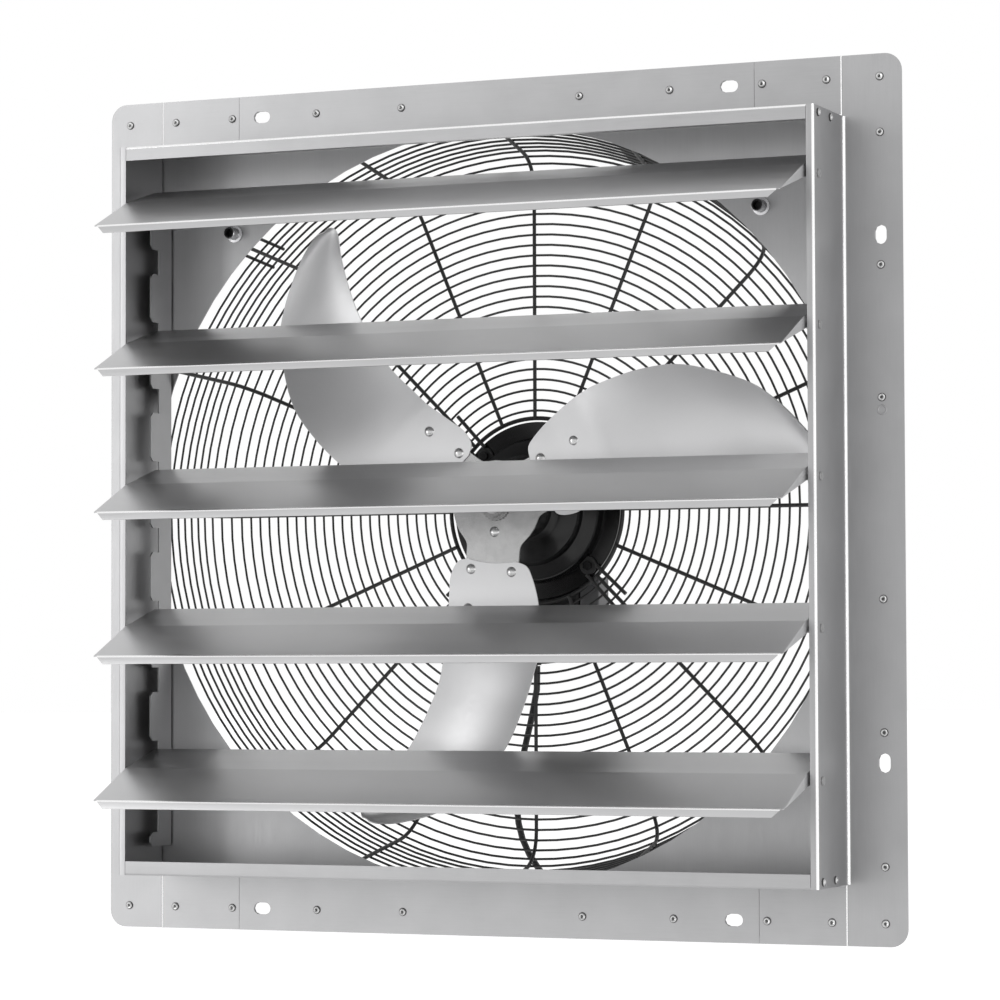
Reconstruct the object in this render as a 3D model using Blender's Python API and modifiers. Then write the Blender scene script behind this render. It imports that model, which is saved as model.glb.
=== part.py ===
"""Shutter exhaust fan for a wall opening, with five gravity louvres and a wire guard.

Metres, +Z up. The origin is on the fan's axis, in the front plane of the mounting flange.
The louvres face -Y, and the guard and the motor are on the +Y side.
"""

import math

import bmesh
import bpy
from mathutils import Matrix, Vector

# Clearances and sheet
fit_gap = 0.0003
pivot_gap = 0.00035
cutter_overrun = 0.004
weld_distance = 0.00001
sheet = 0.0012
louvre_sheet = 0.0008

# Mounting flange and wall panel
flange_width = 0.700
flange_height = 0.697
flange_corner_radius = 0.014
corner_plate_width = 0.072
panel_margin = 0.006
hole_margin = 0.0385
rivet_line_inset = 0.018
slot_length = 0.0152
slot_width = 0.0097
end_slot_inset = 0.1427
side_slot_inset = 0.1423

# Shutter box
side_flange = 0.048
end_flange = 0.04775
box_depth = 0.0747
side_lip = 0.0062
end_lip = 0.0114

# Louvres: section measured from the pivot, forwards and up
louvre_count = 5
top_pivot_drop = 0.05255
bottom_pivot_rise = 0.08235
pivot_set_back = 0.0112
louvre_end_gap = 0.0075
rear_edge_back = 0.0392
rear_edge_rise = 0.0203
fold_forward = 0.0137
fold_rise = 0.0057
main_fold_forward = 0.0687
main_fold_drop = 0.0192
lip_forward = 0.0709
lip_drop = 0.0255
lip_inset = 0.0035
lip_end_inset = 0.0065
flap_back = 0.0065
flap_drop = 0.0065
flap_front = 0.0088
flap_front_drop = 0.0030

# Pivot pins and cranks
pin_radius = 0.0025
pin_head_radius = 0.0034
pin_head = 0.0010
link_radius = 0.033
link_pin_radius = 0.0015
link_hole_radius = 0.0020
crank_width = 0.0072
crank_from_flap = 0.0015

# Notched tie bar
bar_inside_flap = 0.0021
bar_ahead_of_link = 0.0060
bar_panel_gap = 0.0019
bar_top_above_pin = 0.0068
bar_bottom_gap = 0.02175
notch_behind_link = 0.0083
notch_height = 0.0205
notch_chamfer = 0.0035
notch_rise = 0.0169
between_notch_rise = 0.0196
last_notch_rise = 0.0219

# Wire guard
guard_face_y = 0.098
guard_inner_radius = 0.0775
guard_flat_inset = 0.042
guard_bend_radius = 0.033
guard_bend_degrees = 77
guard_seat_y = 0.0052
guard_flat_rings = 4
guard_tie_ring_y = 0.0500
guard_spokes = 16
guard_ring_steps_per_spoke = 2
guard_coarse_rings = 2
guard_wire = 0.0034
guard_fixing_margin = 0.0200
foot_width = 0.018
foot_thickness = 0.0018
foot_reach = 0.0110
foot_overlap = 0.020
mount_strap_width = 0.014
mount_strap_inner = 0.0615
mount_strap_outer = 0.1080
mount_strap_thickness = 0.0020

# Guard bolts
bolt_flange_radius = 0.0072
bolt_flange = 0.0011
bolt_sleeve_radius = 0.0050
bolt_sleeve_length = 0.0100
bolt_bore_radius = 0.0034
bolt_bore_depth = 0.0070
bolt_shank_radius = 0.0036
bolt_head_radius = 0.0070
bolt_head = 0.0040

# Motor
motor_rim_radius = 0.0745
motor_rim = 0.0040
shield_wall = 0.0030
shield_boss_y = 0.0620
shield_boss_radius = 0.0190
dome_steps = ((0.0605, 0.0373), (0.0590, 0.0280), (0.0470, 0.0245), (0.0440, 0.0170), (0.0240, 0.0120))
shell_radius = 0.0600
shell_wall = 0.0025
shell_length = 0.0480
motor_bolt_circle = 0.0660
motor_bolt_radius = 0.0024
motor_bolt_head_radius = 0.0042
motor_bolt_head = 0.0032
bearing_radius = 0.0125
bearing_width = 0.0080
bearing_seat_wall = 0.0040
shaft_radius = 0.0060
running_gap = 0.0003
air_gap = 0.0008
rotor_radius = 0.0350
core_length = 0.0260
core_setback = 0.0100
winding_radial = 0.0130
winding_length = 0.0060

# Hub and blades
spider_y = 0.0120
spider_sheet = 0.0020
arm_half_width = 0.0233
hub_disc_radius = 0.0380
arm_reach_share = 0.3333
arm_fillet = 0.0100
arm_corner = 0.0080
arm_count = 3
first_arm_degrees = 25.3
blade_sheet = 0.0010
blade_tip_gap = 0.0250
rivet_radius = 0.0024
rivet_head_radius = 0.0043
rivet_head = 0.0016
rivet_inner_share = 0.1830
rivet_outer_share = 0.2965
rivet_half_spacing = 0.0180
hub_boss_radius = 0.0160
hub_boss_length = 0.0200
hub_nut_radius = 0.0118
hub_nut_height = 0.0068
shaft_front_out = 0.0030

# Terminal box, capacitor and gland
terminal_width = 0.052
terminal_height = 0.043
terminal_depth = 0.032
terminal_wall = 0.0022
terminal_offset_x = 0.0090
terminal_y = 0.1065
terminal_lid = 0.0022
case_round = 0.0030
capacitor_width = 0.0170
capacitor_height = 0.040
capacitor_depth = 0.024
capacitor_rise = 0.0040
gland_length = 0.026
gland_nut_radius = 0.0085
gland_nut = 0.0080
gland_tip_radius = 0.0040
gland_x = -0.0080
gland_steps = 16

# Power cord
cord_radius = 0.0028
cord_point_spacing = 0.0140
coil_x = 0.2430
coil_z = -0.2700
coil_outer_radius = 0.0425
coil_turns_in = 3.0
coil_turns_out = 2.8333
coil_pitch = 0.0062
coil_climb_dip = 0.0016
coil_points_per_turn = 24
coil_entry_degrees = 180.0
tail_drop = 0.0260
tail_out = 0.0160
tie_width = 0.0040
tie_thickness = 0.0011
tie_slack = 0.0003
tie_guard_room = 0.0040
plug_width = 0.0200
plug_depth = 0.0150
plug_length = 0.0290
plug_relief_length = 0.0210
plug_relief_radius = 0.0048
plug_prong_length = 0.0160
plug_prong_width = 0.0062
plug_prong_thickness = 0.0015
plug_prong_spacing = 0.0127

turned_steps = 24
small_turned_steps = 12
crank_pivot_steps = 14
hole_points = 12
fan_hole_points = 72
round_corner_points = 4
rivet_hole_points = 10

# The free route of the power cord, from below the gland to the foot of the coil
cord_route = (
    (-0.008, 0.118, -0.148),
    (-0.0125, 0.115, -0.176),
    (-0.018, 0.111, -0.205),
    (-0.0222, 0.108, -0.234),
    (-0.0215, 0.107, -0.257),
    (-0.0155, 0.107, -0.279),
    (-0.003, 0.107, -0.299),
    (0.020, 0.103, -0.320),
    (0.052, 0.096, -0.334),
    (0.092, 0.086, -0.340),
    (0.132, 0.077, -0.340),
    (0.166, 0.069, -0.333),
    (0.190, 0.063, -0.317),
)

# Blade outline as shares of the blade's length, from root to tip: the edge towards the next arm
# and the edge away from it, each as (out along the arm, aside, back from the spider's front)
blade_stations_shares = (
    ((0.154, 0.074, 0.000), (0.154, -0.074, 0.000)),
    ((0.165, 0.110, 0.000), (0.165, -0.106, 0.000)),
    ((0.206, 0.133, 0.000), (0.206, -0.124, 0.000)),
    ((0.262, 0.152, 0.000), (0.255, -0.125, 0.000)),
    ((0.342, 0.169, -0.006), (0.340, -0.124, 0.000)),
    ((0.385, 0.172, -0.017), (0.370, -0.126, 0.008)),
    ((0.435, 0.170, -0.032), (0.407, -0.130, 0.014)),
    ((0.572, 0.144, -0.049), (0.526, -0.147, 0.018)),
    ((0.698, 0.094, -0.047), (0.667, -0.204, 0.024)),
    ((0.832, -0.021, -0.027), (0.761, -0.260, 0.032)),
    ((0.888, -0.112, -0.009), (0.839, -0.319, 0.042)),
    ((0.926, -0.228, 0.010), (0.888, -0.365, 0.050)),
    ((0.937, -0.302, 0.022), (0.912, -0.377, 0.051)),
    ((0.934, -0.340, 0.030), (0.926, -0.368, 0.044)),
)
blade_chord_steps = 4
rivet_steps = 8
blade_camber_share = 0.030

# Derived places
half_width = flange_width / 2
half_height = flange_height / 2
wall_out = half_width - side_flange
wall_in = wall_out - sheet
roof_out = half_height - end_flange
roof_in = roof_out - sheet
hole_radius = min(half_width, half_height) - hole_margin
guard_flat_radius = hole_radius - guard_flat_inset
guard_fixing_radius = hole_radius + guard_fixing_margin
blade_length = hole_radius - blade_tip_gap
arm_reach = blade_length * arm_reach_share
rivet_inner_radius = blade_length * rivet_inner_share
rivet_outer_radius = blade_length * rivet_outer_share
end_slot_x = half_width - end_slot_inset
side_slot_z = half_height - side_slot_inset
panel_front = sheet + fit_gap
panel_back = panel_front + sheet
rivet_line_x = half_width - rivet_line_inset
rivet_line_z = half_height - rivet_line_inset
pivot_y = pivot_set_back - box_depth
louvre_end = wall_out - louvre_end_gap
top_pivot_z = roof_out - top_pivot_drop
bottom_pivot_z = bottom_pivot_rise - roof_out
louvre_pitch = (top_pivot_z - bottom_pivot_z) / (louvre_count - 1)
link_y = pivot_y + link_radius
bar_face_x = louvre_end - bar_inside_flap
pivot_heights = [top_pivot_z - louvre_pitch * index for index in range(louvre_count)]
motor_rim_front = guard_face_y + mount_strap_thickness / 2 + fit_gap
motor_rim_back = motor_rim_front + motor_rim
shell_front = motor_rim_back + fit_gap
shell_back = shell_front + shell_length
diagonals = [math.radians(45 + 90 * index) for index in range(4)]

for leftover in list(bpy.data.objects):
    bpy.data.objects.remove(leftover, do_unlink=True)

parts = bpy.data.collections.new("shutter_exhaust_fan")
bpy.context.scene.collection.children.link(parts)
tools = bpy.data.collections.new("shutter_exhaust_fan_cutters")
bpy.context.scene.collection.children.link(tools)


def finish(name, colour, roughness, metallic):
    """A plain material: a Principled shader with the part's colour, roughness and metal."""
    made = bpy.data.materials.new(name)
    made.use_nodes = True
    shader = made.node_tree.nodes["Principled BSDF"]
    shader.inputs["Base Color"].default_value = (*colour, 1)
    shader.inputs["Roughness"].default_value = roughness
    shader.inputs["Metallic"].default_value = metallic
    return made


galvanised = ((0.62, 0.62, 0.63), 0.42, 1)
aluminium = ((0.78, 0.78, 0.79), 0.32, 1)
zinc = ((0.66, 0.66, 0.67), 0.30, 1)
black_wire = ((0.02, 0.02, 0.02), 0.45, 0)
black_paint = ((0.025, 0.025, 0.027), 0.40, 0)
black_plastic = ((0.03, 0.03, 0.03), 0.55, 0)
grey_plastic = ((0.30, 0.30, 0.31), 0.50, 0)
copper = ((0.72, 0.38, 0.20), 0.35, 1)
steel = ((0.60, 0.60, 0.60), 0.28, 1)


def add(name, mesh, look, collection=None):
    """A named object around a mesh, with a material of its own."""
    made = bpy.data.objects.new(name, mesh)
    (collection or parts).objects.link(made)
    if look:
        mesh.materials.append(finish(name + "_finish", *look))
    return made


def as_tool(tool):
    """Keeps a helper out of the model: wire display, no render, in the cutters' collection."""
    for holder in list(tool.users_collection):
        holder.objects.unlink(tool)
    tools.objects.link(tool)
    tool.hide_render = True
    tool.display_type = "WIRE"
    return tool


def combine(target, tool, operation):
    """Cuts a helper from a piece, or joins it on, with an exact Boolean."""
    as_tool(tool)
    step = target.modifiers.new(tool.name, "BOOLEAN")
    step.operation = operation
    step.solver = "EXACT"
    step.object = tool
    return target


def cut(target, *cutters):
    for cutter in cutters:
        combine(target, cutter, "DIFFERENCE")
    return target


def join(target, *pieces):
    for piece in pieces:
        combine(target, piece, "UNION")
    return target


def curve_mesh(name, curve):
    """The mesh of a curve, with its loose caps welded on."""
    holder = bpy.data.objects.new(name + "_curve", curve)
    parts.objects.link(holder)
    graph = bpy.context.evaluated_depsgraph_get()
    mesh = bpy.data.meshes.new_from_object(holder.evaluated_get(graph))
    mesh.name = name
    mesh.materials.clear()
    bpy.data.objects.remove(holder, do_unlink=True)
    work = bmesh.new()
    work.from_mesh(mesh)
    bmesh.ops.remove_doubles(work, verts=work.verts, dist=weld_distance)
    work.to_mesh(mesh)
    work.free()
    return mesh


facing = {
    "front": Matrix(((1, 0, 0), (0, 0, -1), (0, 1, 0))),
    "side": Matrix(((0, 0, 1), (1, 0, 0), (0, 1, 0))),
    "level": Matrix.Identity(3),
}


def plate(name, loops, low, high, look, plane="front", collection=None):
    """A flat outline with its holes, filled and thickened between two places on its normal.

    front: points are (x, z) and the normal is y. side: points are (y, z) and the normal is x.
    level: points are (x, y) and the normal is z.
    """
    curve = bpy.data.curves.new(name, "CURVE")
    curve.dimensions = "2D"
    curve.fill_mode = "BOTH"
    curve.extrude = (high - low) / 2
    for loop in loops:
        spline = curve.splines.new("POLY")
        spline.points.add(len(loop) - 1)
        for point, (across, up) in zip(spline.points, loop):
            point.co = (across, up, 0, 1)
        spline.use_cyclic_u = True
    mesh = curve_mesh(name, curve)
    middle = (low + high) / 2
    shift = {"front": (0, middle, 0), "side": (middle, 0, 0), "level": (0, 0, middle)}[plane]
    mesh.transform(Matrix.Translation(shift) @ facing[plane].to_4x4())
    return add(name, mesh, look, collection)


def box(name, low, high, look, collection=None):
    """A box between two corners."""
    mesh = bpy.data.meshes.new(name)
    work = bmesh.new()
    bmesh.ops.create_cube(work, size=1)
    size = [b - a for a, b in zip(low, high)]
    middle = [(a + b) / 2 for a, b in zip(low, high)]
    bmesh.ops.scale(work, verts=work.verts, vec=size)
    bmesh.ops.translate(work, verts=work.verts, vec=middle)
    work.to_mesh(mesh)
    work.free()
    return add(name, mesh, look, collection)


def soften(piece, width, segments=2, angle_degrees=40):
    bevel = piece.modifiers.new("rounded_edges", "BEVEL")
    bevel.width = width
    bevel.segments = segments
    bevel.limit_method = "ANGLE"
    bevel.angle_limit = math.radians(angle_degrees)
    return piece


axis_turns = {
    "y": Matrix.Rotation(math.radians(-90), 4, "X"),
    "x": Matrix.Rotation(math.radians(90), 4, "Y"),
    "z": Matrix.Identity(4),
}


def turned(name, profile, look, axis="y", place=(0, 0, 0), steps=turned_steps, collection=None):
    """A profile of (radius, along) points turned about an axis through a place.

    The profile's outer side runs from the high end to the low end. A profile that touches the
    axis is open there, and any other profile is closed into a ring.
    """
    mesh = bpy.data.meshes.new(name)
    on_axis = profile[0][0] == 0
    links = [(index, index + 1) for index in range(len(profile) - 1)]
    if not on_axis:
        links.append((len(profile) - 1, 0))
    mesh.from_pydata([(radius, 0, along) for radius, along in profile], links, [])
    made = add(name, mesh, look, collection)
    screw = made.modifiers.new("turned", "SCREW")
    screw.axis = "Z"
    screw.steps = steps
    screw.render_steps = steps
    screw.use_merge_vertices = True
    screw.merge_threshold = weld_distance
    screw.use_smooth_shade = True
    made.matrix_world = Matrix.Translation(place) @ axis_turns[axis]
    return made


def rod(name, radius, low, high, look=None, axis="y", place=(0, 0, 0), steps=small_turned_steps):
    """A solid round bar between two places on an axis."""
    return turned(name, [(0, high), (radius, high), (radius, low), (0, low)], look, axis, place, steps)


def ring(name, inner, outer, low, high, look):
    """A plain ring about the fan's axis."""
    return turned(name, [(outer, high), (outer, low), (inner, low), (inner, high)], look, steps=turned_steps)


def arc(centre, radius, start, end, points):
    """Points on an arc, from one angle to another in degrees."""
    made = []
    for index in range(points + 1):
        turn = math.radians(start + (end - start) * index / points)
        made.append((centre[0] + radius * math.cos(turn), centre[1] + radius * math.sin(turn)))
    return made


def circle(centre, radius, points=hole_points):
    return arc(centre, radius, 0, 360, points)[:-1]


def rounded(low, high, radii, points=round_corner_points):
    """A rectangle between two corners; radii go round from the low corner, anticlockwise."""
    (left, bottom), (right, top) = low, high
    corners = (
        ((left, bottom), (1, 1), 180),
        ((right, bottom), (-1, 1), 270),
        ((right, top), (-1, -1), 0),
        ((left, top), (1, -1), 90),
    )
    made = []
    for (corner, inward, start), radius in zip(corners, radii):
        if radius == 0:
            made.append(corner)
            continue
        centre = (corner[0] + inward[0] * radius, corner[1] + inward[1] * radius)
        made.extend(arc(centre, radius, start, start + 90, points))
    return made


def slot(centre, length, width, upright=False):
    """A slot with round ends, lying along the first coordinate unless it is upright."""
    half = (length - width) / 2
    radius = width / 2
    points = arc((half, 0), radius, -90, 90, round_corner_points)
    points += arc((-half, 0), radius, 90, 270, round_corner_points)
    if upright:
        points = [(-up, across) for across, up in points]
    return [(centre[0] + across, centre[1] + up) for across, up in points]


def polar(radius, turn):
    return radius * math.cos(turn), radius * math.sin(turn)


def wall_panel():
    """The square sheet with the fan's round opening, behind the flange."""
    across = half_width - panel_margin
    up = half_height - panel_margin
    corner = flange_corner_radius - panel_margin
    loops = [rounded((-across, -up), (across, up), [corner] * 4)]
    loops.append(circle((0, 0), hole_radius, fan_hole_points))
    for turn in diagonals:
        loops.append(circle(polar(guard_fixing_radius, turn), bolt_shank_radius + fit_gap))
    for side in (-1, 1):
        for end in (-1, 1):
            loops.append(slot((side * end_slot_x, end * rivet_line_z), slot_length, slot_width))
            loops.append(slot((side * rivet_line_x, end * side_slot_z), slot_length, slot_width, True))
    return plate("wall_panel", loops, panel_front, panel_back, galvanised)


def side_rail(name, side):
    """One side of the flange and of the shutter box, bent from one sheet, with its front lip."""
    radii = [0, flange_corner_radius, flange_corner_radius, 0]
    outline = rounded((wall_in + sheet / 2, -half_height), (half_width, half_height), radii)
    loops = [outline]
    for end in (-1, 1):
        loops.append(slot((rivet_line_x, end * side_slot_z), slot_length, slot_width, True))
    loops = [[(side * across, up) for across, up in loop] for loop in loops]
    rail = plate(name, loops, 0, sheet, galvanised)
    profile = (
        (wall_out, sheet / 2),
        (wall_in, sheet / 2),
        (wall_in, sheet - box_depth),
        (wall_out - side_lip, sheet - box_depth),
        (wall_out - side_lip, -box_depth),
        (wall_out, -box_depth),
    )
    profile = [(side * across, back) for across, back in profile]
    wall = plate(name + "_wall", [profile], -roof_out, roof_out, None, "level", tools)
    join(rail, wall)
    for index, height in enumerate(pivot_heights):
        hole = rod(
            f"{name}_pivot_hole_{index + 1}",
            pin_radius + pivot_gap,
            wall_in - cutter_overrun,
            wall_out + cutter_overrun,
            axis="x",
            place=(0, pivot_y, height),
        )
        if side < 0:
            hole.matrix_world = Matrix.Translation((-wall_in - wall_out, 0, 0)) @ hole.matrix_world
        cut(rail, hole)
    return rail


def end_rail(name, end):
    """The top or bottom of the flange and of the shutter box, with its front lip."""
    half_span = wall_in - fit_gap / 2 - corner_plate_width - fit_gap
    middle = roof_in + sheet / 2
    outline = [(-half_span, middle), (half_span, middle), (half_span, half_height), (-half_span, half_height)]
    rail = plate(name, [[(across, end * up) for across, up in outline]], 0, sheet, galvanised)
    profile = (
        (sheet / 2, roof_in),
        (sheet / 2, roof_out),
        (-box_depth, roof_out),
        (-box_depth, roof_out - end_lip),
        (sheet - box_depth, roof_out - end_lip),
        (sheet - box_depth, roof_in),
    )
    profile = [(back, end * up) for back, up in profile]
    half_roof = wall_in - fit_gap
    roof = plate(name + "_wall", [profile], -half_roof, half_roof, None, "side", tools)
    half_lip = wall_out - side_lip - fit_gap
    trim_low = (half_lip, -box_depth - cutter_overrun)
    trim_high = (wall_out, sheet - box_depth + fit_gap)
    join(rail, roof)
    for side, side_name in ((-1, "left"), (1, "right")):
        across = sorted((side * trim_low[0], side * trim_high[0]))
        trim = box(
            f"{name}_{side_name}_trim",
            (across[0], trim_low[1], -half_height),
            (across[1], trim_high[1], half_height),
            None,
            tools,
        )
        outline = slot((side * end_slot_x, end * rivet_line_z), slot_length, slot_width)
        opening = plate(
            f"{name}_{side_name}_slot", [outline], -cutter_overrun, cutter_overrun, None, "front", tools
        )
        cut(rail, trim, opening)
    return rail


def corner_plate(name, side, end):
    """A splice plate between a side rail's flange and an end rail's flange."""
    outer = wall_in - fit_gap / 2
    inner = outer - corner_plate_width
    low = min(side * inner, side * outer)
    high = max(side * inner, side * outer)
    bottom = min(end * (roof_out + fit_gap), end * half_height)
    top = max(end * (roof_out + fit_gap), end * half_height)
    outline = [(low, bottom), (high, bottom), (high, top), (low, top)]
    return plate(name, [outline], 0, sheet, galvanised)


def louvre(index):
    """A blade of the shutter: rear panel, main panel, front lip and two end flaps."""
    rear = (rear_edge_back, rear_edge_rise)
    fold = (-fold_forward, fold_rise)
    main = (-main_fold_forward, -main_fold_drop)
    lip = (-lip_forward, -lip_drop)
    slope = (rear[1] - fold[1]) / (rear[0] - fold[0])
    above_flap = (flap_back, fold[1] + slope * (flap_back - fold[0]))
    lines = (
        (rear, louvre_end),
        (above_flap, louvre_end),
        (fold, louvre_end),
        (main, louvre_end),
    )
    name = f"louvre_{index + 1}"
    mesh = bpy.data.meshes.new(name)
    work = bmesh.new()
    rows = [[work.verts.new((side * reach, *spot)) for side in (-1, 1)] for spot, reach in lines]
    lip_top = [work.verts.new((side * (louvre_end - lip_inset), *main)) for side in (-1, 1)]
    lip_end = louvre_end - lip_inset - lip_end_inset
    lip_low = [work.verts.new((side * lip_end, *lip)) for side in (-1, 1)]
    work.faces.new((rows[0][0], rows[1][0], rows[1][1], rows[0][1]))
    work.faces.new((rows[1][0], rows[2][0], rows[2][1], rows[1][1]))
    work.faces.new((rows[2][0], rows[3][0], lip_top[0], lip_top[1], rows[3][1], rows[2][1]))
    work.faces.new((lip_top[0], lip_low[0], lip_low[1], lip_top[1]))
    for which, side in enumerate((-1, 1)):
        back_low = work.verts.new((side * louvre_end, flap_back, -flap_drop))
        front_low = work.verts.new((side * louvre_end, -flap_front, -flap_front_drop))
        ring_of = [rows[1][which], rows[2][which], rows[3][which], front_low, back_low]
        work.faces.new(ring_of if side > 0 else ring_of[::-1])
    bmesh.ops.recalc_face_normals(work, faces=work.faces)
    if rows and work.faces[:]:
        work.faces.ensure_lookup_table()
        if work.faces[0].normal.z < 0:
            bmesh.ops.reverse_faces(work, faces=work.faces)
    work.to_mesh(mesh)
    work.free()
    blade = add(name, mesh, aluminium)
    blade.location = (0, pivot_y, pivot_heights[index])
    wall = blade.modifiers.new("thickness", "SOLIDIFY")
    wall.thickness = louvre_sheet
    wall.offset = -1
    wall.use_even_offset = True
    bpy.context.view_layer.update()
    for side, end_name in ((-1, "left"), (1, "right")):
        hole = rod(
            f"{name}_{end_name}_hole",
            pin_radius + fit_gap,
            louvre_end - cutter_overrun,
            louvre_end + cutter_overrun,
            axis="x",
            place=(0, pivot_y, pivot_heights[index]),
        )
        if side < 0:
            hole.matrix_world = Matrix.Translation((-2 * louvre_end, 0, 0)) @ hole.matrix_world
        cut(blade, hole)
    return blade


def right_pin(index):
    """The pivot pin at a louvre's right end, headed outside the box wall."""
    inner = louvre_end - louvre_sheet - fit_gap
    head = wall_out + fit_gap
    profile = [
        (0, head + pin_head),
        (pin_head_radius, head + pin_head),
        (pin_head_radius, head),
        (pin_radius, head),
        (pin_radius, inner),
        (0, inner),
    ]
    place = (0, pivot_y, pivot_heights[index])
    return turned(f"louvre_pin_{index + 1}", profile, steel, "x", place, small_turned_steps)


def crank(index):
    """The left pivot pin with its lever and the link pin that the tie bar hangs on."""
    height = pivot_heights[index]
    name = f"louvre_crank_{index + 1}"
    head = wall_out + fit_gap
    inner = louvre_end - louvre_sheet - fit_gap
    lever_in = louvre_end + crank_from_flap
    lever_out = lever_in + sheet
    half = crank_width / 2
    outline = arc((pivot_y, height), half, 90, 270, round_corner_points)
    outline += arc((pivot_y + link_radius, height), half, -90, 90, round_corner_points)
    lever = plate(name, [outline], -lever_out, -lever_in, steel, "side")
    profile = [
        (0, -inner),
        (pin_radius, -inner),
        (pin_radius, -head),
        (pin_head_radius, -head),
        (pin_head_radius, -head - pin_head),
        (0, -head - pin_head),
    ]
    pivot = turned(name + "_pivot", profile, None, "x", (0, pivot_y, height), crank_pivot_steps)
    link_end = bar_face_x - pin_head
    link_place = (0, pivot_y + link_radius, height)
    middle = (lever_in + lever_out) / 2
    link = rod(name + "_link", link_pin_radius, -middle, -link_end, None, "x", link_place)
    join(lever, pivot, link)
    lever.name = name
    shift = Vector((0, pivot_y, height))
    lever.data.transform(Matrix.Translation(-shift))
    lever.location = shift
    return lever


def tie_bar():
    """The upright bar that joins the cranks, notched to clear the louvres' ends."""
    top = pivot_heights[0] + bar_top_above_pin
    bottom = bar_bottom_gap - roof_out
    front = link_y - bar_ahead_of_link
    rear = panel_front - bar_panel_gap
    notch_floor = link_y + notch_behind_link
    levels = []
    for index, height in enumerate(pivot_heights):
        if index:
            levels.append(height + notch_rise)
            levels.append(height + louvre_pitch / 2 + between_notch_rise)
    levels.append(bottom + last_notch_rise)
    levels.sort()
    outline = [(rear, bottom), (rear, top), (front, top)]
    for level in reversed(levels):
        half = notch_height / 2
        outline.append((front, level + half + notch_chamfer))
        outline.append((front + notch_chamfer, level + half))
        outline.append((notch_floor, level + half))
        outline.append((notch_floor, level - half))
        outline.append((front + notch_chamfer, level - half))
        outline.append((front, level - half - notch_chamfer))
    outline.append((front, bottom + notch_chamfer))
    outline.append((front + notch_chamfer, bottom))
    loops = [outline]
    for height in pivot_heights:
        loops.append(circle((link_y, height), link_hole_radius, small_turned_steps))
    bar = plate("tie_bar", loops, -bar_face_x - sheet, -bar_face_x, galvanised, "side")
    shift = Vector((0, link_y, pivot_heights[0]))
    bar.data.transform(Matrix.Translation(-shift))
    bar.location = shift
    return bar


def guard_face_profile():
    """The rings of the guard's flat face, from the inner one outwards, as (radius, back)."""
    made = []
    for index in range(guard_flat_rings):
        share = index / (guard_flat_rings - 1)
        radius = guard_inner_radius + (guard_flat_radius - guard_inner_radius) * share
        made.append((radius, guard_face_y))
    return made


def guard_bend_profile():
    """The rings of the guard's bend, from beside the face's outer ring, as (radius, back)."""
    bend = math.radians(guard_bend_degrees)
    made = []
    for turn in ((guard_wire + fit_gap) / guard_bend_radius, bend / 2, bend):
        radius = guard_flat_radius + guard_bend_radius * math.sin(turn)
        made.append((radius, guard_face_y - guard_bend_radius * (1 - math.cos(turn))))
    return made


def guard_skirt_profile():
    """The rings of the guard's side, from beside the bend's last ring to the seat."""
    bend = math.radians(guard_bend_degrees)
    bend_end_radius, bend_end_y = guard_bend_profile()[-1]
    made = []
    for back in (bend_end_y - guard_wire - fit_gap, guard_tie_ring_y, guard_seat_y):
        made.append((bend_end_radius + (bend_end_y - back) / math.tan(bend), back))
    return made


def wire_net(name, profile, coarse_rings):
    """Rings on spokes: a net of quads turned into wires along their edges."""
    mesh = bpy.data.meshes.new(name)
    work = bmesh.new()
    rows = []
    for number, (radius, back) in enumerate(profile):
        per_spoke = 1 if number < coarse_rings else guard_ring_steps_per_spoke
        around = guard_spokes * per_spoke
        row = []
        for step in range(around):
            across, up = polar(radius, 2 * math.pi * step / around)
            row.append(work.verts.new((across, back, up)))
        rows.append(row + row[:1])
    for inner, outer in zip(rows, rows[1:]):
        for spoke in range(guard_spokes):
            near = len(inner) // guard_spokes
            far = len(outer) // guard_spokes
            corners = inner[spoke * near:(spoke + 1) * near + 1]
            corners += reversed(outer[spoke * far:(spoke + 1) * far + 1])
            work.faces.new(corners)
    work.to_mesh(mesh)
    work.free()
    net = add(name, mesh, black_wire)
    wires = net.modifiers.new("wires", "WIREFRAME")
    wires.thickness = guard_wire
    wires.use_even_offset = True
    wires.use_relative_offset = False
    wires.use_boundary = True
    wires.use_replace = True
    return net


def guard_face():
    """The flat face of the wire guard behind the blades, with its straps to the motor."""
    face = wire_net("wire_guard", guard_face_profile(), guard_coarse_rings)
    strap_outline = rounded(
        (mount_strap_inner, -mount_strap_width / 2),
        (mount_strap_outer, mount_strap_width / 2),
        [mount_strap_width / 3] * 4,
    )
    strap_hole = circle((motor_bolt_circle, 0), motor_bolt_radius + fit_gap)
    strap_low = guard_face_y - mount_strap_thickness / 2
    for index, turn in enumerate(diagonals):
        strap = plate(
            f"guard_strap_{index + 1}",
            [strap_outline, strap_hole],
            strap_low,
            strap_low + mount_strap_thickness,
            None,
        )
        strap.data.transform(Matrix.Rotation(-turn, 4, "Y"))
        join(face, strap)
    return face


def guard_bend():
    """The rounded shoulder of the wire guard, between its flat face and its side."""
    return wire_net("guard_bend", guard_bend_profile(), 0)


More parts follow.
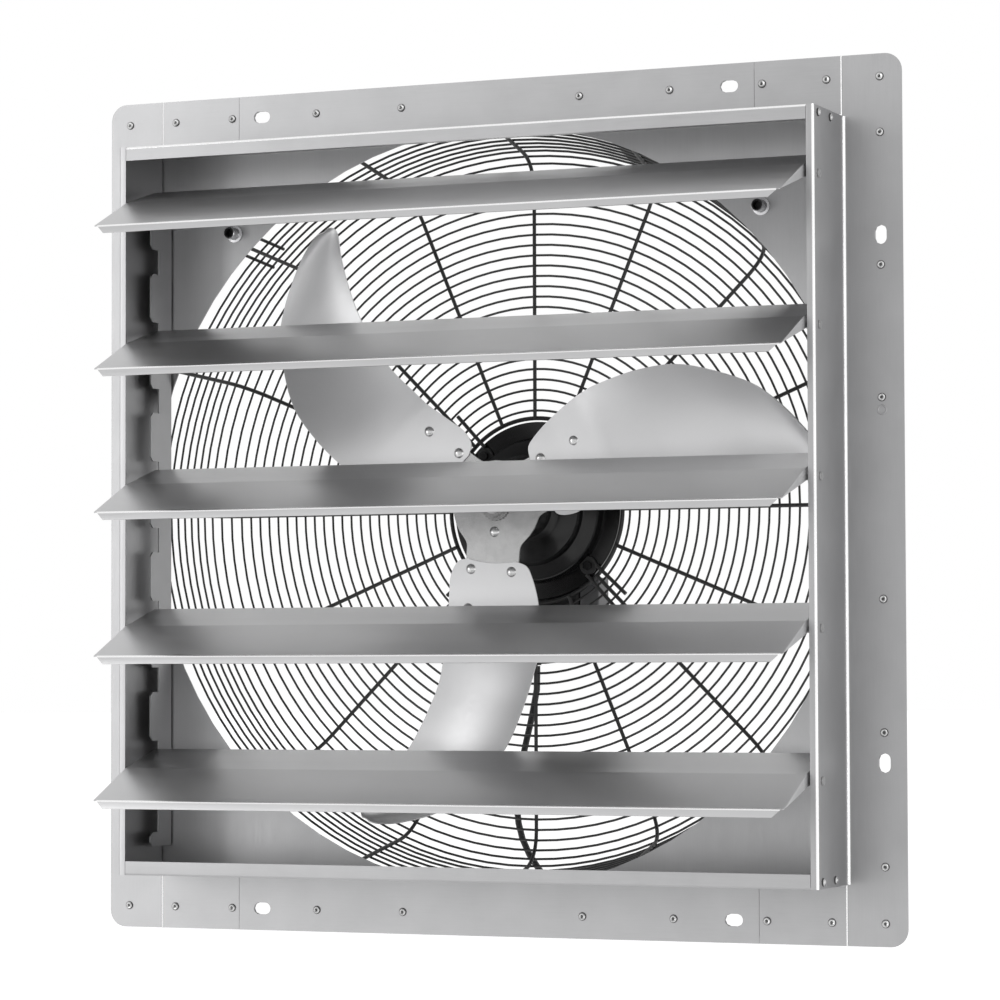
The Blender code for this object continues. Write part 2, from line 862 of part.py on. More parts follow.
def guard_skirt():
    """The side of the wire guard, from its bend to the ring at the panel, with its feet."""
    skirt = wire_net("guard_skirt", guard_skirt_profile(), 0)
    foot_back = panel_back + fit_gap
    foot_outline = rounded(
        (guard_fixing_radius - foot_reach - foot_overlap, -foot_width / 2),
        (guard_fixing_radius + foot_reach, foot_width / 2),
        [0, foot_reach / 2, foot_reach / 2, 0],
    )
    foot_hole = circle((guard_fixing_radius, 0), bolt_shank_radius + fit_gap)
    for index, turn in enumerate(diagonals):
        foot = plate(
            f"guard_foot_{index + 1}", [foot_outline, foot_hole], foot_back, foot_back + foot_thickness, None
        )
        foot.data.transform(Matrix.Rotation(-turn, 4, "Y"))
        join(skirt, foot)
    return skirt


def guard_bolt(index):
    """A bolt through a guard foot and the panel, with its flanged sleeve nut in front."""
    across, up = polar(guard_fixing_radius, diagonals[index])
    front = panel_front - fit_gap - bolt_flange
    tip = front - bolt_sleeve_length
    head = panel_back + fit_gap + foot_thickness + fit_gap
    profile = [
        (0, head + bolt_head),
        (bolt_head_radius, head + bolt_head),
        (bolt_head_radius, head),
        (bolt_shank_radius, head),
        (bolt_shank_radius, front + bolt_flange),
        (bolt_flange_radius, front + bolt_flange),
        (bolt_flange_radius, front),
        (bolt_sleeve_radius, front),
        (bolt_sleeve_radius, tip),
        (bolt_bore_radius, tip),
        (bolt_bore_radius, tip + bolt_bore_depth),
        (0, tip + bolt_bore_depth),
    ]
    place = (across, 0, up)
    return turned(f"guard_bolt_{index + 1}", profile, zinc, "y", place, small_turned_steps)


def motor_front_shield():
    """The stepped black dish that faces the blades, with the front bearing's seat."""
    base = shield_boss_y
    bore = shaft_radius + running_gap
    seat = bearing_radius + fit_gap
    outer = [(motor_rim_radius, motor_rim_back), (motor_rim_radius, motor_rim_front)]
    outer += [(radius, base + rise) for radius, rise in dome_steps]
    outer += [(shield_boss_radius, base), (bore, base)]
    seat_front = base + shield_wall
    seat_back = seat_front + bearing_width + fit_gap
    inner = [(bore, seat_front), (seat, seat_front), (seat, seat_back)]
    for radius, rise in reversed(dome_steps):
        inner.append((radius - shield_wall, base + rise + shield_wall))
    inner.append((dome_steps[0][0] - shield_wall, motor_rim_back))
    shield = turned("motor_front_shield", outer + inner, black_paint)
    for index, turn in enumerate(diagonals):
        across, up = polar(motor_bolt_circle, turn)
        hole = rod(
            f"shield_hole_{index + 1}",
            motor_bolt_radius + fit_gap,
            motor_rim_front - cutter_overrun,
            motor_rim_back + cutter_overrun,
            place=(across, 0, up),
        )
        cut(shield, hole)
    return shield


def motor_rear_shell():
    """The cup behind the shield that holds the stator and the rear bearing."""
    seat = bearing_radius + fit_gap
    seat_wall = seat + bearing_seat_wall
    floor = shell_back - shell_wall
    seat_front = floor - bearing_width - fit_gap
    inner = shell_radius - shell_wall
    profile = [
        (0, shell_back),
        (shell_radius - case_round, shell_back),
        (shell_radius, shell_back - case_round),
        (shell_radius, shell_front),
        (inner, shell_front),
        (inner, floor),
        (seat_wall, floor),
        (seat_wall, seat_front),
        (seat, seat_front),
        (seat, floor),
        (0, floor),
    ]
    return turned("motor_rear_shell", profile, black_paint)


def motor_inside():
    """Stator core and its two end windings, rotor, shaft and bearings."""
    core_front = shell_front + core_setback
    core_back = core_front + core_length
    core_outer = shell_radius - shell_wall - fit_gap
    core_inner = rotor_radius + air_gap
    ring("stator_core", core_inner, core_outer, core_front, core_back, steel)
    middle = (core_inner + core_outer) / 2
    low = middle - winding_radial / 2
    high = middle + winding_radial / 2
    ring("front_winding", low, high, core_front - fit_gap - winding_length, core_front - fit_gap, copper)
    ring("rear_winding", low, high, core_back + fit_gap, core_back + fit_gap + winding_length, copper)
    bore = shaft_radius + fit_gap
    ring("rotor", bore, rotor_radius, core_front, core_back, steel)
    seat_front = shield_boss_y + shield_wall + fit_gap
    ring("front_bearing", bore, bearing_radius, seat_front, seat_front + bearing_width, steel)
    floor = shell_back - shell_wall - fit_gap
    ring("rear_bearing", bore, bearing_radius, floor - bearing_width, floor, steel)
    shaft_front = spider_y - blade_sheet - hub_nut_height - shaft_front_out
    shaft = rod("motor_shaft", shaft_radius, shaft_front, floor - fit_gap, steel, steps=turned_steps)
    return shaft


def motor_bolt(index):
    """A bolt with its nut, through a guard strap and the motor's rim."""
    across, up = polar(motor_bolt_circle, diagonals[index])
    front = guard_face_y - mount_strap_thickness / 2 - fit_gap
    back = motor_rim_back + fit_gap
    profile = [
        (0, back + motor_bolt_head),
        (motor_bolt_head_radius, back + motor_bolt_head),
        (motor_bolt_head_radius, back),
        (motor_bolt_radius, back),
        (motor_bolt_radius, front),
        (motor_bolt_head_radius, front),
        (motor_bolt_head_radius, front - motor_bolt_head),
        (0, front - motor_bolt_head),
    ]
    return turned(f"motor_bolt_{index + 1}", profile, black_paint, "y", (across, 0, up), 12)


def terminal_box():
    """The wiring box under the motor, open at its back, with its lid and the capacitor."""
    top = -shell_radius - fit_gap
    bottom = top - terminal_height
    left = terminal_offset_x - terminal_width / 2
    right = terminal_offset_x + terminal_width / 2
    back = terminal_y + terminal_depth
    case = box("terminal_box", (left, terminal_y, bottom), (right, back, top), black_plastic)
    soften(case, case_round)
    hollow = box(
        "terminal_hollow",
        (left + terminal_wall, terminal_y + terminal_wall, bottom + terminal_wall),
        (right - terminal_wall, back + cutter_overrun, top - terminal_wall),
        None,
        tools,
    )
    cut(case, hollow)
    lid_front = back + fit_gap
    lid = box(
        "terminal_lid", (left, lid_front, bottom), (right, lid_front + terminal_lid, top), black_plastic
    )
    soften(lid, terminal_lid / 3)
    case_left = right + fit_gap
    case_top = top + capacitor_rise
    capacitor = box(
        "capacitor",
        (case_left, terminal_y, case_top - capacitor_height),
        (case_left + capacitor_width, terminal_y + capacitor_depth, case_top),
        grey_plastic,
    )
    soften(capacitor, case_round / 2)
    return bottom


def cord_gland(bottom):
    """The strain relief under the terminal box: a nut and a tapered sleeve."""
    start = bottom - fit_gap
    profile = [
        (0, start),
        (gland_nut_radius, start),
        (gland_nut_radius, start - gland_nut),
        (gland_nut_radius * 2 / 3, start - gland_nut),
        (gland_tip_radius, start - gland_length),
        (0, start - gland_length),
    ]
    place = (gland_x, cord_route[0][1], 0)
    turned("cord_gland", profile, black_plastic, "z", place, gland_steps)
    return Vector((gland_x, cord_route[0][1], start - gland_length - fit_gap))


def smooth_route(points, spacing):
    """Points a set distance apart on one smooth curve through a route's own points."""
    fine = []
    padded = [points[0] * 2 - points[1], *points, points[-1] * 2 - points[-2]]
    fine_steps = 24
    for before, start, end, after in zip(padded, padded[1:], padded[2:], padded[3:]):
        for step in range(fine_steps):
            t = step / fine_steps
            fine.append(
                (
                    start * 2
                    + (end - before) * t
                    + (before * 2 - start * 5 + end * 4 - after) * t ** 2
                    + (start * 3 - before - end * 3 + after) * t ** 3
                )
                / 2
            )
    fine.append(points[-1])
    total = sum((b - a).length for a, b in zip(fine, fine[1:]))
    count = max(2, round(total / spacing))
    made = [fine[0]]
    walked = 0
    for a, b in zip(fine, fine[1:]):
        walked += (b - a).length
        if walked >= len(made) * total / count and len(made) < count:
            made.append(b)
    made.append(fine[-1])
    return made


def tube(name, points, radius, look, sides):
    """A round cord along points, with closed ends."""
    curve = bpy.data.curves.new(name, "CURVE")
    curve.dimensions = "3D"
    curve.bevel_depth = radius
    curve.bevel_resolution = sides
    curve.use_fill_caps = True
    spline = curve.splines.new("POLY")
    spline.points.add(len(points) - 1)
    for point, spot in zip(spline.points, points):
        point.co = (*spot, 1)
    return add(name, curve_mesh(name, curve), look)


def coil_point(turn, radius, back):
    return Vector((coil_x + radius * math.cos(turn), back, coil_z + radius * math.sin(turn)))


def coil_points(back, front):
    """The coil's line: in on the rear layer, across in half a turn, and out on the front one."""
    inner_radius = coil_outer_radius - coil_pitch * coil_turns_in
    total = coil_turns_in + 0.5 + coil_turns_out
    count = round(total * coil_points_per_turn)
    made = []
    for index in range(count + 1):
        turns = total * index / count
        turn = math.radians(coil_entry_degrees) - 2 * math.pi * turns
        if turns <= coil_turns_in:
            radius = coil_outer_radius - coil_pitch * turns
            layer = back
        elif turns <= coil_turns_in + 0.5:
            share = (turns - coil_turns_in) / 0.5
            radius = inner_radius - coil_climb_dip * math.sin(math.pi * share)
            layer = back + (front - back) * (3 * share ** 2 - 2 * share ** 3)
        else:
            radius = inner_radius + coil_pitch * (turns - coil_turns_in - 0.5)
            layer = front
        made.append(coil_point(turn, radius, layer))
    return made


def least_gap(points, radius):
    """The least gap between stretches of a line that are more than half a turn apart."""
    half_turn = coil_points_per_turn // 2
    least = coil_outer_radius
    for index, here in enumerate(points):
        for there, after in zip(points[index + half_turn:], points[index + half_turn + 1:]):
            along = after - there
            share = max(0, min(1, (here - there).dot(along) / along.length_squared))
            least = min(least, (here - there - along * share).length - 2 * radius)
    return least


def power_cord(exit_point):
    """The cord from the gland to the coil, the coil itself, its tie and the plug."""
    ring_radius, ring_y = guard_skirt_profile()[-2]
    back = ring_y + coil_pitch / 2
    front = ring_y - coil_pitch / 2
    loops = coil_points(back, front)
    diameter = 2 * cord_radius
    start = loops[0]
    run_in = Vector((start.x, start.y, start.z - diameter))
    join_low = Vector((run_in.x, run_in.y, run_in.z - fit_gap))
    straight = Vector((0, 0, diameter))
    route = [exit_point - straight, *map(Vector, cord_route), join_low - straight]
    lead = [exit_point, *smooth_route(route, cord_point_spacing), join_low]
    tube("cord_lead", lead, cord_radius, black_plastic, 2)

    out_heading = (loops[-1] - loops[-2]).normalized()
    plug_x = coil_x + coil_outer_radius + tail_out
    plug_top = coil_z + tail_drop
    relief_top = Vector((plug_x, front, plug_top))
    bend = [loops[-1], loops[-1] + out_heading * diameter * 2]
    bend += [relief_top + Vector((0, 0, 2 * diameter)), relief_top + Vector((0, 0, diameter / 2))]
    tail = smooth_route(bend, diameter * 1.5)[1:]
    points = [run_in, *loops, *tail, relief_top]
    print(f"least gap in the coil {least_gap(loops, cord_radius) * 1000:.2f} mm")
    length = sum((b - a).length for a, b in zip(lead, lead[1:]))
    length += sum((b - a).length for a, b in zip(points, points[1:]))
    print(f"cord length {length:.3f} m")
    tube("cord_coil", points, cord_radius, black_plastic, 1)
    power_plug(relief_top - Vector((0, 0, fit_gap)))
    coil_tie(ring_radius, ring_y)


def power_plug(top):
    """A two-pin plug that hangs beside the coil, with its tapered strain relief."""
    body_top = top.z - plug_relief_length
    body_bottom = body_top - plug_length
    body = box(
        "power_plug",
        (top.x - plug_width / 2, top.y - plug_depth / 2, body_bottom),
        (top.x + plug_width / 2, top.y + plug_depth / 2, body_top),
        black_plastic,
    )
    soften(body, case_round)
    relief = turned(
        "plug_relief",
        [
            (0, top.z),
            (gland_tip_radius, top.z),
            (plug_relief_radius, body_top - cutter_overrun),
            (0, body_top - cutter_overrun),
        ],
        None,
        "z",
        (top.x, top.y, 0),
        small_turned_steps,
    )
    join(body, relief)
    for side in (-1, 1):
        middle = top.x + side * plug_prong_spacing / 2
        prong = box(
            f"plug_prong_{'left' if side < 0 else 'right'}",
            (middle - plug_prong_thickness / 2, top.y - plug_prong_width / 2, body_bottom - plug_prong_length),
            (middle + plug_prong_thickness / 2, top.y + plug_prong_width / 2, body_bottom + cutter_overrun),
            None,
            tools,
        )
        join(body, prong)
    return body


def coil_tie(ring_radius, ring_y):
    """A strap round the coil and one ring of the guard, which the coil hangs by."""
    reach = math.hypot(coil_x, coil_z)
    outward = reach - coil_outer_radius + coil_pitch * coil_turns_in + coil_climb_dip
    outward += cord_radius + tie_slack
    inward = ring_radius - guard_wire / 2 - tie_guard_room
    half_depth = coil_pitch / 2 + cord_radius + tie_slack
    round_inside = half_depth / 2
    inside = rounded((inward, -half_depth), (outward, half_depth), [round_inside] * 4)
    grow = tie_thickness
    outside = rounded(
        (inward - grow, -half_depth - grow), (outward + grow, half_depth + grow), [round_inside + grow] * 4
    )
    strap = plate("coil_tie", [outside, inside], -tie_width / 2, tie_width / 2, black_plastic, "level")
    strap.data.transform(Matrix.Translation((0, ring_y, 0)))
    strap.data.transform(Matrix.Rotation(-math.atan2(coil_z, coil_x), 4, "Y"))
    return strap


def spider_outline():
    """The three-armed hub plate: a disc that runs in fillets into straight, rounded arms."""
    turn_step = 360 / arm_count
    aside = arm_half_width + arm_fillet
    out = math.sqrt((hub_disc_radius + arm_fillet) ** 2 - aside ** 2)
    lean = math.degrees(math.atan2(aside, out))
    made = []
    for index in range(arm_count):
        heading = first_arm_degrees + turn_step * index
        spin = Matrix.Rotation(math.radians(heading), 2)
        end = arm_reach - arm_corner
        points = arc((out, -aside), arm_fillet, 180 - lean, 90, 3)
        points += arc((end, -arm_half_width + arm_corner), arm_corner, -90, 0, 3)
        points += arc((end, arm_half_width - arm_corner), arm_corner, 0, 90, 3)
        points += arc((out, aside), arm_fillet, -90, lean - 180, 3)
        points += arc((0, 0), hub_disc_radius, lean, turn_step - lean, 3)[1:-1]
        made += [tuple(spin @ Vector(point)) for point in points]
    return made


def rivet_spots():
    """Where a blade's four rivets are, out along its arm and aside."""
    return [
        (out, side * rivet_half_spacing)
        for out in (rivet_inner_radius, rivet_outer_radius)
        for side in (-1, 1)
    ]


def spider():
    """The stamped hub plate that carries the blades."""
    loops = [spider_outline(), circle((0, 0), shaft_radius + fit_gap)]
    for index in range(arm_count):
        spin = Matrix.Rotation(math.radians(first_arm_degrees + 360 / arm_count * index), 2)
        for spot in rivet_spots():
            loops.append(circle(tuple(spin @ Vector(spot)), rivet_radius + fit_gap, rivet_hole_points))
    return plate("hub_spider", loops, spider_y, spider_y + spider_sheet, galvanised)


def blade(index):
    """A scimitar blade of sheet aluminium, twisted beyond its flat root, with four rivets."""
    name = f"fan_blade_{index + 1}"
    mesh = bpy.data.meshes.new(name)
    work = bmesh.new()
    front = spider_y - fit_gap - blade_sheet
    rows = []
    for near, far in blade_stations_shares:
        row = []
        for step in range(blade_chord_steps + 1):
            share = step / blade_chord_steps
            out, aside, back = (a + (b - a) * share for a, b in zip(near, far))
            twist = min(1, abs(far[2] - near[2]) / blade_camber_share / 2)
            back += blade_camber_share * twist * 4 * share * (1 - share)
            place = (out * blade_length, front + back * blade_length, aside * blade_length)
            row.append(work.verts.new(place))
        rows.append(row)
    for inner, outer in zip(rows, rows[1:]):
        for step in range(blade_chord_steps):
            work.faces.new((inner[step], inner[step + 1], outer[step + 1], outer[step]))
    bmesh.ops.recalc_face_normals(work, faces=work.faces)
    work.faces.ensure_lookup_table()
    if work.faces[0].normal.y > 0:
        bmesh.ops.reverse_faces(work, faces=work.faces)
    work.to_mesh(mesh)
    work.free()
    turn = math.radians(first_arm_degrees + 360 / arm_count * index)
    mesh.transform(Matrix.Rotation(-turn, 4, "Y"))
    made = add(name, mesh, aluminium)
    wall = made.modifiers.new("thickness", "SOLIDIFY")
    wall.thickness = blade_sheet
    wall.offset = -1
    wall.use_even_offset = True
    back = spider_y + spider_sheet + fit_gap
    for number, spot in enumerate(rivet_spots()):
        across, up = Matrix.Rotation(turn, 2) @ Vector(spot)
        profile = [
            (0, back + rivet_head),
            (rivet_head_radius, back),
            (rivet_radius, back),
            (rivet_radius, front + blade_sheet / 2),
            (rivet_head_radius, front + blade_sheet / 2),
            (0, front - rivet_head),
        ]
        join(made, turned(f"{name}_rivet_{number + 1}", profile, None, "y", (across, 0, up), rivet_steps))
    return made


def hub():
    """The boss behind the spider and the nut in front of it."""
    bore = shaft_radius + fit_gap
    boss_front = spider_y + spider_sheet + fit_gap
    ring("hub_boss", bore, hub_boss_radius, boss_front, boss_front + hub_boss_length, steel)
    nut_back = spider_y - fit_gap
    loops = [circle((0, 0), hub_nut_radius, 6), circle((0, 0), bore, turned_steps)]
    return plate("hub_nut", loops, nut_back - hub_nut_height, nut_back, zinc)


wall_panel()
side_rail("side_rail_left", -1)
side_rail("side_rail_right", 1)
end_rail("top_rail", 1)
end_rail("bottom_rail", -1)
corner_plate("corner_plate_top_left", -1, 1)
corner_plate("corner_plate_top_right", 1, 1)
corner_plate("corner_plate_bottom_left", -1, -1)
corner_plate("corner_plate_bottom_right", 1, -1)
for number in range(louvre_count):
    louvre(number)
    right_pin(number)
    crank(number)
tie_bar()
guard_face()
guard_bend()
guard_skirt()
for number in range(len(diagonals)):
    guard_bolt(number)
    motor_bolt(number)
motor_front_shield()
motor_rear_shell()
motor_inside()
gland_end = cord_gland(terminal_box())
power_cord(gland_end)
spider()
for number in range(arm_count):
    blade(number)
hub()
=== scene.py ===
"""Looks for a shutter exhaust fan: sheet-metal finishes, wire guard, rotor, louvres, motor and cord."""

import math

import bmesh
import bpy
from bpy.props import FloatProperty, FloatVectorProperty, IntProperty, PointerProperty
from mathutils import Matrix, Vector


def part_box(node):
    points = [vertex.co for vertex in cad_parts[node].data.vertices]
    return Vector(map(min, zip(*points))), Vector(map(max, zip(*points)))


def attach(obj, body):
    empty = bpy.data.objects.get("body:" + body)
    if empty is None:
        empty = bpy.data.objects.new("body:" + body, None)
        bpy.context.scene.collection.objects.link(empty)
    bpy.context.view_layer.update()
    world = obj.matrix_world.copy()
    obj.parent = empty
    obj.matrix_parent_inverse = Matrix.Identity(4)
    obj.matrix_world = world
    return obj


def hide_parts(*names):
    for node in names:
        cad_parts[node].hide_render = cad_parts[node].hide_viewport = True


bl_info = {
    "name": "Shutter exhaust fan looks",
    "version": (1, 0, 0),
    "blender": (4, 5, 0),
    "location": "3D View > Sidebar > Exhaust Fan",
    "description": "Builds the visible surfaces of a shutter exhaust fan on its fixed frame",
    "category": "Object",
}

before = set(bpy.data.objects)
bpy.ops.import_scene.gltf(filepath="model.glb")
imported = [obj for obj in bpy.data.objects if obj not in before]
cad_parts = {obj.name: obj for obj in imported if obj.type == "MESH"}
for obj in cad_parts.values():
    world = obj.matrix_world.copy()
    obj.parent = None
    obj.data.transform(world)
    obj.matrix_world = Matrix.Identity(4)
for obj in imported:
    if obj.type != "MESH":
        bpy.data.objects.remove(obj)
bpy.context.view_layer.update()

SIDES = (-1, 1)
FIT_GAP = 0.0003
EDGE_ROUND = 0.0006

# Frame: the flange, the folded box and their rivets
FLANGE_HALF_X = 0.3500
FLANGE_HALF_Z = 0.3485
FLANGE_ROUND = 0.0140
BOX_HALF = 0.3020
ROOF_HALF = 0.30075
BOX_FRONT = -0.0747
LIP_BACK = BOX_FRONT + 0.0001
SIDE_LIP = 0.0062
END_LIP = 0.0114
LIP_HALF = 0.2955
RAIL_SHEET = 0.0012
BEND_RADIUS = 0.0018
BEND_END = 0.0020
BEND_STEPS = 5
# Normals leaning this far towards Y mark the rails' bends, which on the right and top rails get a painted
# highlight
BEND_SLOPES = (0.1, 0.99)
END_REACH = 0.22835
END_WALL_INSET = 0.0015
SLOT_LENGTH = 0.0152
SLOT_WIDTH = 0.0097
END_SLOT_X = 0.2073
SIDE_SLOT_Z = 0.2062
PLATE_EDGE = 0.3007
# Round wires along the corner plates' outer edges that carry a painted highlight: their thickness and place
# along Y
SEAM_WIRE = 0.0014
SEAM_Y = 0.0004
RIVET_X = 0.332
RIVET_Z = 0.3305
END_RIVETS = (RIVET_X, 0.2884, 0.2350, 0.1568, 0.0790)
SIDE_RIVETS = (0.2866, 0.1825, 0.0787)
WALL_RIVETS = ((-0.0636, -0.2955), (-0.0330, -0.2955), (-0.0636, 0.2955), (-0.0330, 0.2955))
PRESSED_RING_Z = 0.0689
PRESSED_RING = ((0.0024, 0.0003), (0.0030, -0.0004), (0.0038, -0.0004), (0.0043, 0.0003))
# A blind rivet's dished head, as (share of its radius, height)
RIVET_DISH = (
    (0, 0.0006), (0.26, 0.0005), (0.38, 0.0013), (0.62, 0.0016), (0.82, 0.0011), (0.84, 0.0003),
    (1, 0.0002), (1, -0.0003), (0, -0.0003),
)
# Between these shares of its radius a rivet head keeps its own colour; its centre and its outer edge are
# painted shade
RIVET_UNSHADED_SHARES = (0.3, 0.75)

# Louvres: places round the pivot as (y, z)
LOUVRE_COUNT = 5
LOUVRE_PITCH = 0.11665
LOUVRE_HALF = 0.2945
LOUVRE_SHEET = 0.0008
PIVOT_Y = -0.0635
PIVOT_TOP = 0.2482
LOUVRE_REAR = (0.0392, 0.0203)
LOUVRE_FOLD = (-0.0137, 0.0057)
LOUVRE_MAIN = (-0.0687, -0.0192)
LOUVRE_LIP = (-0.0709, -0.0255)
FLAP_BACK = (0.0065, -0.0065)
FLAP_FRONT = (-0.0088, -0.0030)
LIP_TOP_INSET = 0.0035
LIP_LOW_INSET = 0.0100
# Louvre folds in front of this line and within this half-width keep a near-white painted highlight
LIP_HIGHLIGHT_Y = PIVOT_Y - 0.0600
LIP_HIGHLIGHT_HALF = LOUVRE_HALF - 0.0040

# Guard: its section, wires, and the doubled wires at the four diagonals
GUARD_FACE_Y = 0.0980
GUARD_INNER_RADIUS = 0.0775
GUARD_FLAT_RADIUS = 0.2680
GUARD_BEND_RADIUS = 0.0330
GUARD_BEND = math.radians(77)
GUARD_SEAT_Y = 0.0052
INNER_RING_WIRE = 0.0036
OUTER_RING_WIRE = 0.0038
FIRST_RING = 0.0065
LAST_RING_ROOM = 0.0120
RING_STEPS = 96
SPOKE_STEPS = 40
WIRE_OVERLAP_SHARE = 0.42
TANGENT_STEP = 0.0002
HAIRPIN_LENGTH = 0.0360
HAIRPIN_ASIDE = 0.0058
HAIRPIN_SPREAD = 0.0014
FOOT_WIRE = 0.0028
FOOT_ASIDE = 0.0095
FOOT_START_SHARE = 0.845
FOOT_STAGGER_SHARE = 0.01
FOOT_RUN_SHARE = 0.13
FOOT_STEPS = 15
HAIRPIN_STEPS = 8
EYE_RADIUS = 0.0075
FIXING_RADIUS = 0.3300
MOTOR_BOLT_CIRCLE = 0.0660
DIAGONALS = [math.radians(45 + 90 * index) for index in range(4)]
# Eyes as (circle, hole, y, thickness)
EYES = (
    (MOTOR_BOLT_CIRCLE, 0.0028, GUARD_FACE_Y - 0.0009, 0.0018),
    (FIXING_RADIUS, 0.0040, 0.0031, 0.0017),
)

# Rotor
ARM_ANGLES = [math.radians(25.3 + 120 * index) for index in range(3)]
SPIDER_FRONT = 0.0120
SPIDER_SHEET = 0.0020
BLADE_LENGTH = 0.2850
BLADE_SHEET = 0.0010
BLADE_FRONT = SPIDER_FRONT - FIT_GAP - BLADE_SHEET
BLADE_CAMBER = 0.030
ROOT_SCOOP = 0.0024
HUB_RIVET_OUT = 0.0205
HUB_NUT_RADIUS = 0.0094
HUB_NUT_FLANGE_RADIUS = 0.0110
HUB_NUT_FLANGE = 0.0024
HUB_NUT_TOOTH = 0.0008
HUB_NUT_FLANGE_SIDES = 48
RIVET_SPOTS = [(out, side * 0.0180) for out in (0.0522, 0.0845) for side in SIDES]
RIVET_DOME = ((0, 0.0021), (0.0014, 0.0019), (0.0028, 0.0014), (0.0038, 0.0006), (0.0043, 0), (0, 0))

# Blade outline from the root to the tip: the edge towards the next arm and the other edge, each as
# (out, aside, back) in shares of the blade's length
BLADE_STATIONS = (
    ((0.154, 0.074, 0.000), (0.154, -0.074, 0.000)),
    ((0.165, 0.110, 0.000), (0.165, -0.106, 0.000)),
    ((0.206, 0.133, 0.000), (0.206, -0.124, 0.000)),
    ((0.262, 0.152, -0.0005), (0.255, -0.125, 0.000)),
    ((0.342, 0.169, -0.006), (0.340, -0.124, 0.002)),
    ((0.385, 0.172, -0.013), (0.370, -0.126, 0.005)),
    ((0.435, 0.170, -0.023), (0.407, -0.130, 0.009)),
    ((0.572, 0.144, -0.044), (0.526, -0.147, 0.018)),
    ((0.698, 0.094, -0.047), (0.667, -0.204, 0.024)),
    ((0.832, -0.021, -0.027), (0.761, -0.260, 0.032)),
    ((0.888, -0.112, -0.009), (0.839, -0.319, 0.042)),
    ((0.926, -0.228, 0.010), (0.888, -0.365, 0.050)),
    ((0.937, -0.302, 0.022), (0.912, -0.377, 0.051)),
    ((0.934, -0.340, 0.030), (0.926, -0.368, 0.044)),
)

# Motor: the front shield's steps as (radius, distance before its rear rim), and those inside it as
# (radius, distance behind its front)
SHIELD_OUTER = (
    (0.0745, 0), (0.0745, 0.0037), (0.0741, 0.0040), (0.0612, 0.0040), (0.0603, 0.0052),
    (0.0596, 0.0100), (0.0588, 0.0126), (0.0578, 0.0136), (0.0560, 0.0140), (0.0548, 0.0146),
    (0.0482, 0.0160), (0.0468, 0.0170), (0.0452, 0.0210), (0.0444, 0.0236), (0.0430, 0.0246),
    (0.0300, 0.0276), (0.0254, 0.0288), (0.0238, 0.0300), (0.0205, 0.0390), (0.0196, 0.0408),
)
SHIELD_INNER = (
    (0.0180, 0), (0.0064, 0), (0.0064, 0.0030), (0.0129, 0.0030), (0.0129, 0.0112),
    (0.0210, 0.0150), (0.0410, 0.0200), (0.0440, 0.0275), (0.0560, 0.0310),
)
SHIELD_BORE = 0.0575
# The rear shell's outside from its back, as (radius, distance before the back), and its open front
SHELL_BACK = (
    (0, 0), (0.0130, 0), (0.0140, 0.0008), (0.0150, 0.0028), (0.0480, 0.0036), (0.0540, 0.0040),
    (0.0580, 0.0062), (0.0598, 0.0100), (0.0600, 0.0140),
)
SHELL_FRONT = ((0.0600, 0.0060), (0.0592, 0.0050), (0.0600, 0.0040), (0.0600, 0), (0.0577, 0))
SHELL_INNER = ((0.0577, 0.0080), (0, 0.0060))
# A guard bolt's sleeve nut: its collar from the rear, its flange from its seat, and its open tip
NUT_COLLAR = (
    (0, 0), (0.0050, 0), (0.0062, 0.0008), (0.0066, 0.0030), (0.0066, 0.0040), (0.0035, 0.0040),
)
NUT_FLANGE = ((0.0035, 0), (0.0070, 0), (0.0072, 0.0008), (0.0052, 0.0012), (0.0050, 0.0020))
NUT_TIP = (
    (0.0050, 0.0006), (0.0045, 0), (0.0036, 0), (0.0033, 0.0005), (0.0033, 0.0070), (0, 0.0070),
)
NUT_SEAT_Y = 0.0012
NUT_BORE_REACH = 0.0034
NUT_RIM_REACH = 0.0040
NUT_RIM_WIDTH = 0.0006
SCREW_HEAD = ((0, 0.0006), (0.0016, 0.0005), (0.0023, 0.0001), (0.0024, -0.0004), (0, -0.0004))
MOTOR_BOLT_HEAD = 0.0032
MOTOR_BOLT_HEAD_RADIUS = 0.0041
MOTOR_BOLT_RADIUS = 0.0023
BOLT_EDGE = 0.0003
SHANK_INSET = 0.0010
LID_RELIEF = 0.0004
SCREW_INSET = 0.0050
SCREW_DEPTH = 0.0005
MOTOR_GLOSS = 0.36
# A rib on the rear shell: its inner and outer corner, with y from the shell's back
SHELL_RIB = ((0.0180, -0.0040, -0.0011), (0.0520, -0.0016, 0.0011))
SHELL_RIB_ROUND = 0.0005
SHELL_RIBS = 12
# The shaft's end, and its thread: one turn as (radius, along) points, then how many there are,
# where the first starts, from one to the next, and how much the radius grows by
SHAFT_TIP = ((0, 0), (0.0047, 0))
SHAFT_THREADS = (((0.0055, 0), (0.0060, 0.00045)), 5, 0.0006, 0.0009, 0)
SHAFT_BACK = ((0.0055, 0.0060), (0, 0.0060))

# The power cord: its free route, and its coil
GLAND_EXIT = (-0.0080, 0.1180, -0.1299)
CORD_ROUTE = (
    (-0.008, 0.118, -0.148), (-0.0125, 0.115, -0.176), (-0.018, 0.111, -0.205),
    (-0.0222, 0.108, -0.234), (-0.0215, 0.107, -0.257), (-0.0155, 0.107, -0.279),
    (-0.003, 0.107, -0.299), (0.020, 0.103, -0.320), (0.052, 0.096, -0.334),
    (0.092, 0.086, -0.340), (0.132, 0.077, -0.340), (0.166, 0.069, -0.333), (0.190, 0.063, -0.317),
)
CORD_SPACING = 0.0140
ROUTE_STEPS = 24
COIL_X = 0.2430
COIL_Y = 0.0500
COIL_Z = -0.2700
COIL_RADIUS = 0.0425
COIL_PITCH = 0.0062
COIL_CLIMB_DIP = 0.0016
COIL_TURNS_IN = 3.0
COIL_TURNS_OUT = 2.8333
COIL_POINTS = 24
TAIL_DROP = 0.0260
TAIL_OUT = 0.0160
